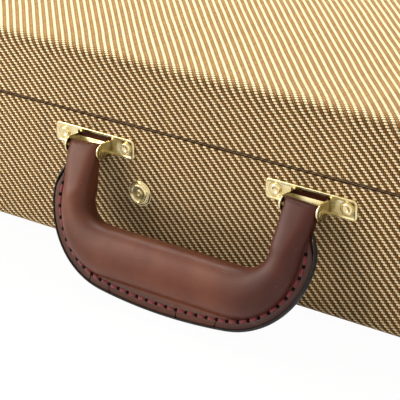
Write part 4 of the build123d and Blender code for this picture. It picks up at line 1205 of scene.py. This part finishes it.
def plush_ring(name, profile):
    """A ring round the case: a closed profile of (inset, z) carried along the walls."""
    points = outline_points(8, 14.0)
    verts = []
    for place, out, _, _ in points:
        for inset, z in profile:
            wave = noise.noise(Vector((place.x, place.y, z)) * 0.035) * PLUSH_WAVE
            p = place - out * (inset + wave)
            verts.append((p.x, p.y + MID_Y, z))
    obj = new_mesh(name, verts, turned_faces(len(points), len(profile), True))
    outward(obj)
    return obj


for name, node, body, slot, profile in (
    ("base_wall_plush", "base_liner", "base", "plush", (
        (7.78, 10.9), (8.58, 10.9), (8.6, 20.0), (8.6, 32.0), (8.6, 46.0), (8.6, 60.0), (8.6, 74.0), (8.6, 87.0),
        (8.52, 89.2), (8.2, 89.9), (7.78, 89.9),
    )),
    ("lid_wall_plush", "lid_liner", "lid", "plush", (
        (7.78, 124.5), (8.58, 124.5), (8.6, 118.0), (8.6, 110.0), (8.6, 101.0), (8.6, 93.5), (8.52, 91.7),
        (8.2, 91.0), (7.78, 91.0),
    )),
    ("rim_lip_plush", "rim_lip", "base", "lip_plush", (
        (8.85, 72.3), (12.2, 72.3), (12.6, 73.0), (12.62, 80.0), (12.62, 88.0), (12.6, 93.6), (12.3, 95.1),
        (11.6, 95.9), (10.75, 96.05), (9.9, 95.9), (9.2, 95.1), (8.88, 93.6), (8.85, 82.0),
    )),
):
    dress(plush_ring(name, profile), body, slot, [node], PLUSH)
dress(bevelled("pocket_walls", "pocket_wall_plush", 1.4, 3), "base", "pocket_board", ["pocket_walls"], PLUSH)

FLOOR_CORNER = 21.2
FLOOR_CELLS = (118, 36)


def floor_cushion():
    """The thin pad on the floor, with soft edges and a slight crown."""
    low, high = (tuple(c / MM for c in corner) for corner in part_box("floor_pad"))
    hx, hy, r = (high[0] - low[0]) / 2 - 0.1, (high[1] - low[1]) / 2 - 0.1, FLOOR_CORNER
    nx, ny = FLOOR_CELLS
    verts, faces = [], []
    for upper in (1, 0):
        for i in range(nx + 1):
            for j in range(ny + 1):
                x, y = -hx + 2 * hx * i / nx, -hy + 2 * hy * j / ny
                cx, cy = abs(x) - (hx - r), abs(y) - (hy - r)
                if cx > 0 and cy > 0:
                    reach = math.hypot(cx, cy)
                    if reach > r:
                        x = math.copysign(hx - r + cx * r / reach, x)
                        y = math.copysign(hy - r + cy * r / reach, y)
                    edge_far = max(0.0, r - reach)
                else:
                    edge_far = min(hx - abs(x), hy - abs(y))
                z = low[2] + 0.1
                if upper:
                    wave = 0.5 + 0.5 * noise.noise(Vector((x, y, 0.0)) * 0.03)
                    crown = 0.5 * smooth(0.0, 120.0, edge_far) * wave
                    z = low[2] + 3.0 + 2.2 * math.sqrt(min(1.0, edge_far / 9.0)) + crown
                verts.append((x, y + MID_Y, z))

    def at(sheet, i, j):
        return (sheet * (nx + 1) + i) * (ny + 1) + j

    for i in range(nx):
        for j in range(ny):
            faces.append((at(0, i, j), at(0, i + 1, j), at(0, i + 1, j + 1), at(0, i, j + 1)))
            faces.append((at(1, i, j), at(1, i, j + 1), at(1, i + 1, j + 1), at(1, i + 1, j)))
    rim = [(i, 0) for i in range(nx)] + [(nx, j) for j in range(ny)]
    rim += [(i, ny) for i in range(nx, 0, -1)] + [(0, j) for j in range(ny, 0, -1)]
    for a, b in zip(rim, rim[1:] + rim[:1]):
        faces.append((at(0, *a), at(1, *a), at(1, *b), at(0, *b)))
    obj = new_mesh("floor_cushion", verts, faces)
    outward(obj)
    dress(obj, "base", "padding", ["floor_pad"], PLUSH_PAD)


floor_cushion()

# node, new piece, body, voxel size, how far it starts drawn in, how far it may swell, and which faces its
# seams run round
PADS = (
    ("lid_pad", "lid_cushion", "lid", 6.0, 2.6, 4.2, (0, 0, -1)),
    ("side_block_front", "front_bolster", "base", 5.0, 2.8, 5.0, (0, 0, 1)),
    ("side_block_rear", "rear_bolster", "base", 5.0, 2.8, 5.0, (0, 0, 1)),
    ("tail_block", "tail_bolster", "base", 5.0, 2.8, 5.0, (0, 0, 1)),
    ("head_block", "head_bolster", "base", 5.0, 2.4, 4.0, (0, 0, 1)),
    ("neck_cradle", "neck_rest", "base", 4.0, 2.2, 4.0, (1, 0, 0)),
)
PRESSURE = 4.0
FRAMES = 20
DENT = 0.35 * MM
BOX_MARGIN = 0.1
PIPING = 1.5
PIPING_STEP = 3.5
PIPING_SIDES = 8


def seam_loops(node, facing):
    """Closed loops of points, in millimetres, round the CAD faces that look along facing, either way."""
    bm = bmesh.new()
    bm.from_mesh(nodes[node].data)
    bmesh.ops.remove_doubles(bm, verts=bm.verts, dist=CAD_MERGE)
    bm.normal_update()
    facing = Vector(facing)
    low, high = (Vector(c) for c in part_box(node))
    limit = high.dot(facing) if sum(facing) > 0 else low.dot(facing)
    chosen = set()
    for f in bm.faces:
        d = f.normal.dot(facing)
        if facing.x and abs(d) > 0.999:
            chosen.add(f)
        elif d > 0.999 and abs(f.calc_center_median().dot(facing) - limit) < 1e-4:
            chosen.add(f)
    links = {}
    for e in bm.edges:
        if len(e.link_faces) == 2 and (e.link_faces[0] in chosen) != (e.link_faces[1] in chosen):
            a, b = e.verts
            links.setdefault(a.index, []).append(b.index)
            links.setdefault(b.index, []).append(a.index)
    bm.verts.ensure_lookup_table()
    loops, seen = [], set()
    for start in sorted(links):
        if start in seen:
            continue
        loop, here, before = [start], start, None
        seen.add(start)
        while True:
            ahead = [k for k in links[here] if k != before and (k not in seen or k == start)]
            if not ahead or ahead[0] == start:
                break
            before, here = here, ahead[0]
            seen.add(here)
            loop.append(here)
        if len(loop) > 3:
            loops.append([bm.verts[k].co / MM for k in loop])
    bm.free()
    return loops


def pad_start(node, name, voxel, draw_in):
    """A pad's first form: its CAD node remeshed, drawn in and softened."""
    obj = add_object(name, nodes[node].data.copy())
    with edited(obj.data, CAD_MERGE):
        pass
    mod = obj.modifiers.new("remesh", "REMESH")
    mod.mode = "VOXEL"
    mod.voxel_size = voxel * MM
    mod = obj.modifiers.new("draw", "DISPLACE")
    mod.strength = -draw_in * MM
    mod.mid_level = 0.0
    mod = obj.modifiers.new("soft", "SMOOTH")
    mod.factor = 0.5
    mod.iterations = 3
    apply_modifiers(obj)
    return obj


def kept_inside(point, low, high, margin):
    return Vector([min(max(c, lo + margin), hi - margin) for c, lo, hi in zip(point, low, high)])


def piping(name, loops, obj, low, high):
    """A corded seam laid on a pad's surface along its edges, or None where no edge is long enough."""
    bm = bmesh.new()
    bm.from_mesh(obj.data)
    tree = BVHTree.FromBMesh(bm)
    bm.free()
    low, high = ([c / MM for c in corner] for corner in (low, high))
    parts = []
    for loop in loops:
        pts = resampled(loop + [loop[0]], PIPING_STEP)[0][:-1]
        if len(pts) < 8:
            continue
        line = []
        for p in pts:
            place, normal, _, _ = tree.find_nearest(p * MM)
            line.append(place / MM + normal * 0.35)
        for _ in range(3):
            line = [(line[k - 1] + line[k] * 2 + line[(k + 1) % len(line)]) / 4 for k in range(len(line))]
        line = [kept_inside(p, low, high, PIPING + 0.1) for p in line]
        rings = []
        side = None
        for k, p in enumerate(line):
            along = (line[(k + 1) % len(line)] - line[k - 1]).normalized()
            side = along.orthogonal() if side is None else side - along * side.dot(along)
            side.normalize()
            other = along.cross(side)
            turns = (2 * math.pi * q / PIPING_SIDES for q in range(PIPING_SIDES))
            rings.append([p + (side * math.cos(a) + other * math.sin(a)) * PIPING for a in turns])
        verts, faces = loft(rings, caps=False)
        # the frame turns once round the loop, so the last ring joins the first at its nearest point
        turn = min(range(PIPING_SIDES), key=lambda q: (rings[-1][q] - rings[0][0]).length)
        last = len(verts) - PIPING_SIDES
        for q in range(PIPING_SIDES):
            a, b = (turn + q) % PIPING_SIDES, (turn + q + 1) % PIPING_SIDES
            faces.append((last + a, last + b, (q + 1) % PIPING_SIDES, q))
        parts.append((verts, faces))
    return joined(name, parts) if parts else None


def blown_up(cushions):
    """Where a short cloth simulation with pressure takes each cushion's points."""
    for obj in cushions:
        mod = obj.modifiers.new("cloth", "CLOTH")
        mod.settings.quality = 4
        mod.settings.use_pressure = True
        mod.settings.uniform_pressure_force = PRESSURE
        mod.settings.effector_weights.gravity = 0.0
        mod.collision_settings.use_collision = False
        mod.collision_settings.use_self_collision = False
    for number in range(1, FRAMES + 1):
        bpy.context.scene.frame_set(number)
    graph = bpy.context.evaluated_depsgraph_get()
    blown = [[v.co.copy() for v in obj.evaluated_get(graph).data.vertices] for obj in cushions]
    for obj in cushions:
        obj.modifiers.clear()
    bpy.context.scene.frame_set(1)
    return blown


cushions = [pad_start(node, name, voxel, draw_in) for node, name, _, voxel, draw_in, _, _ in PADS]
starts = [[v.co.copy() for v in obj.data.vertices] for obj in cushions]
blown = blown_up(cushions)
for obj, first, after, (node, name, body, _, _, swell, facing) in zip(cushions, starts, blown, PADS):
    low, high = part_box(node)
    limit = swell * MM
    for v, a, b in zip(obj.data.vertices, first, after):
        move = b - a
        far = move.length
        if far > 1e-9:
            move *= limit * (1.0 - math.exp(-far / limit)) / far
        p = a + move
        dent = noise.noise(p * 28.0) * DENT
        v.co = kept_inside(p + Vector((dent, dent, dent)), low, high, BOX_MARGIN * MM)
    subdivide(obj, 1)
    dress(obj, body, "padding", [node], PLUSH_PAD)
    cord = piping(name + "_piping", seam_loops(node, facing), obj, low, high)
    if cord:
        dress(cord, body, "padding", None, PLUSH_CORD)

# CAD nodes that keep their shape get their finishes
for entry in frame["record"]["subparts"]:
    paint(nodes[entry["node"]], FINISHES[entry["material_slot"]])
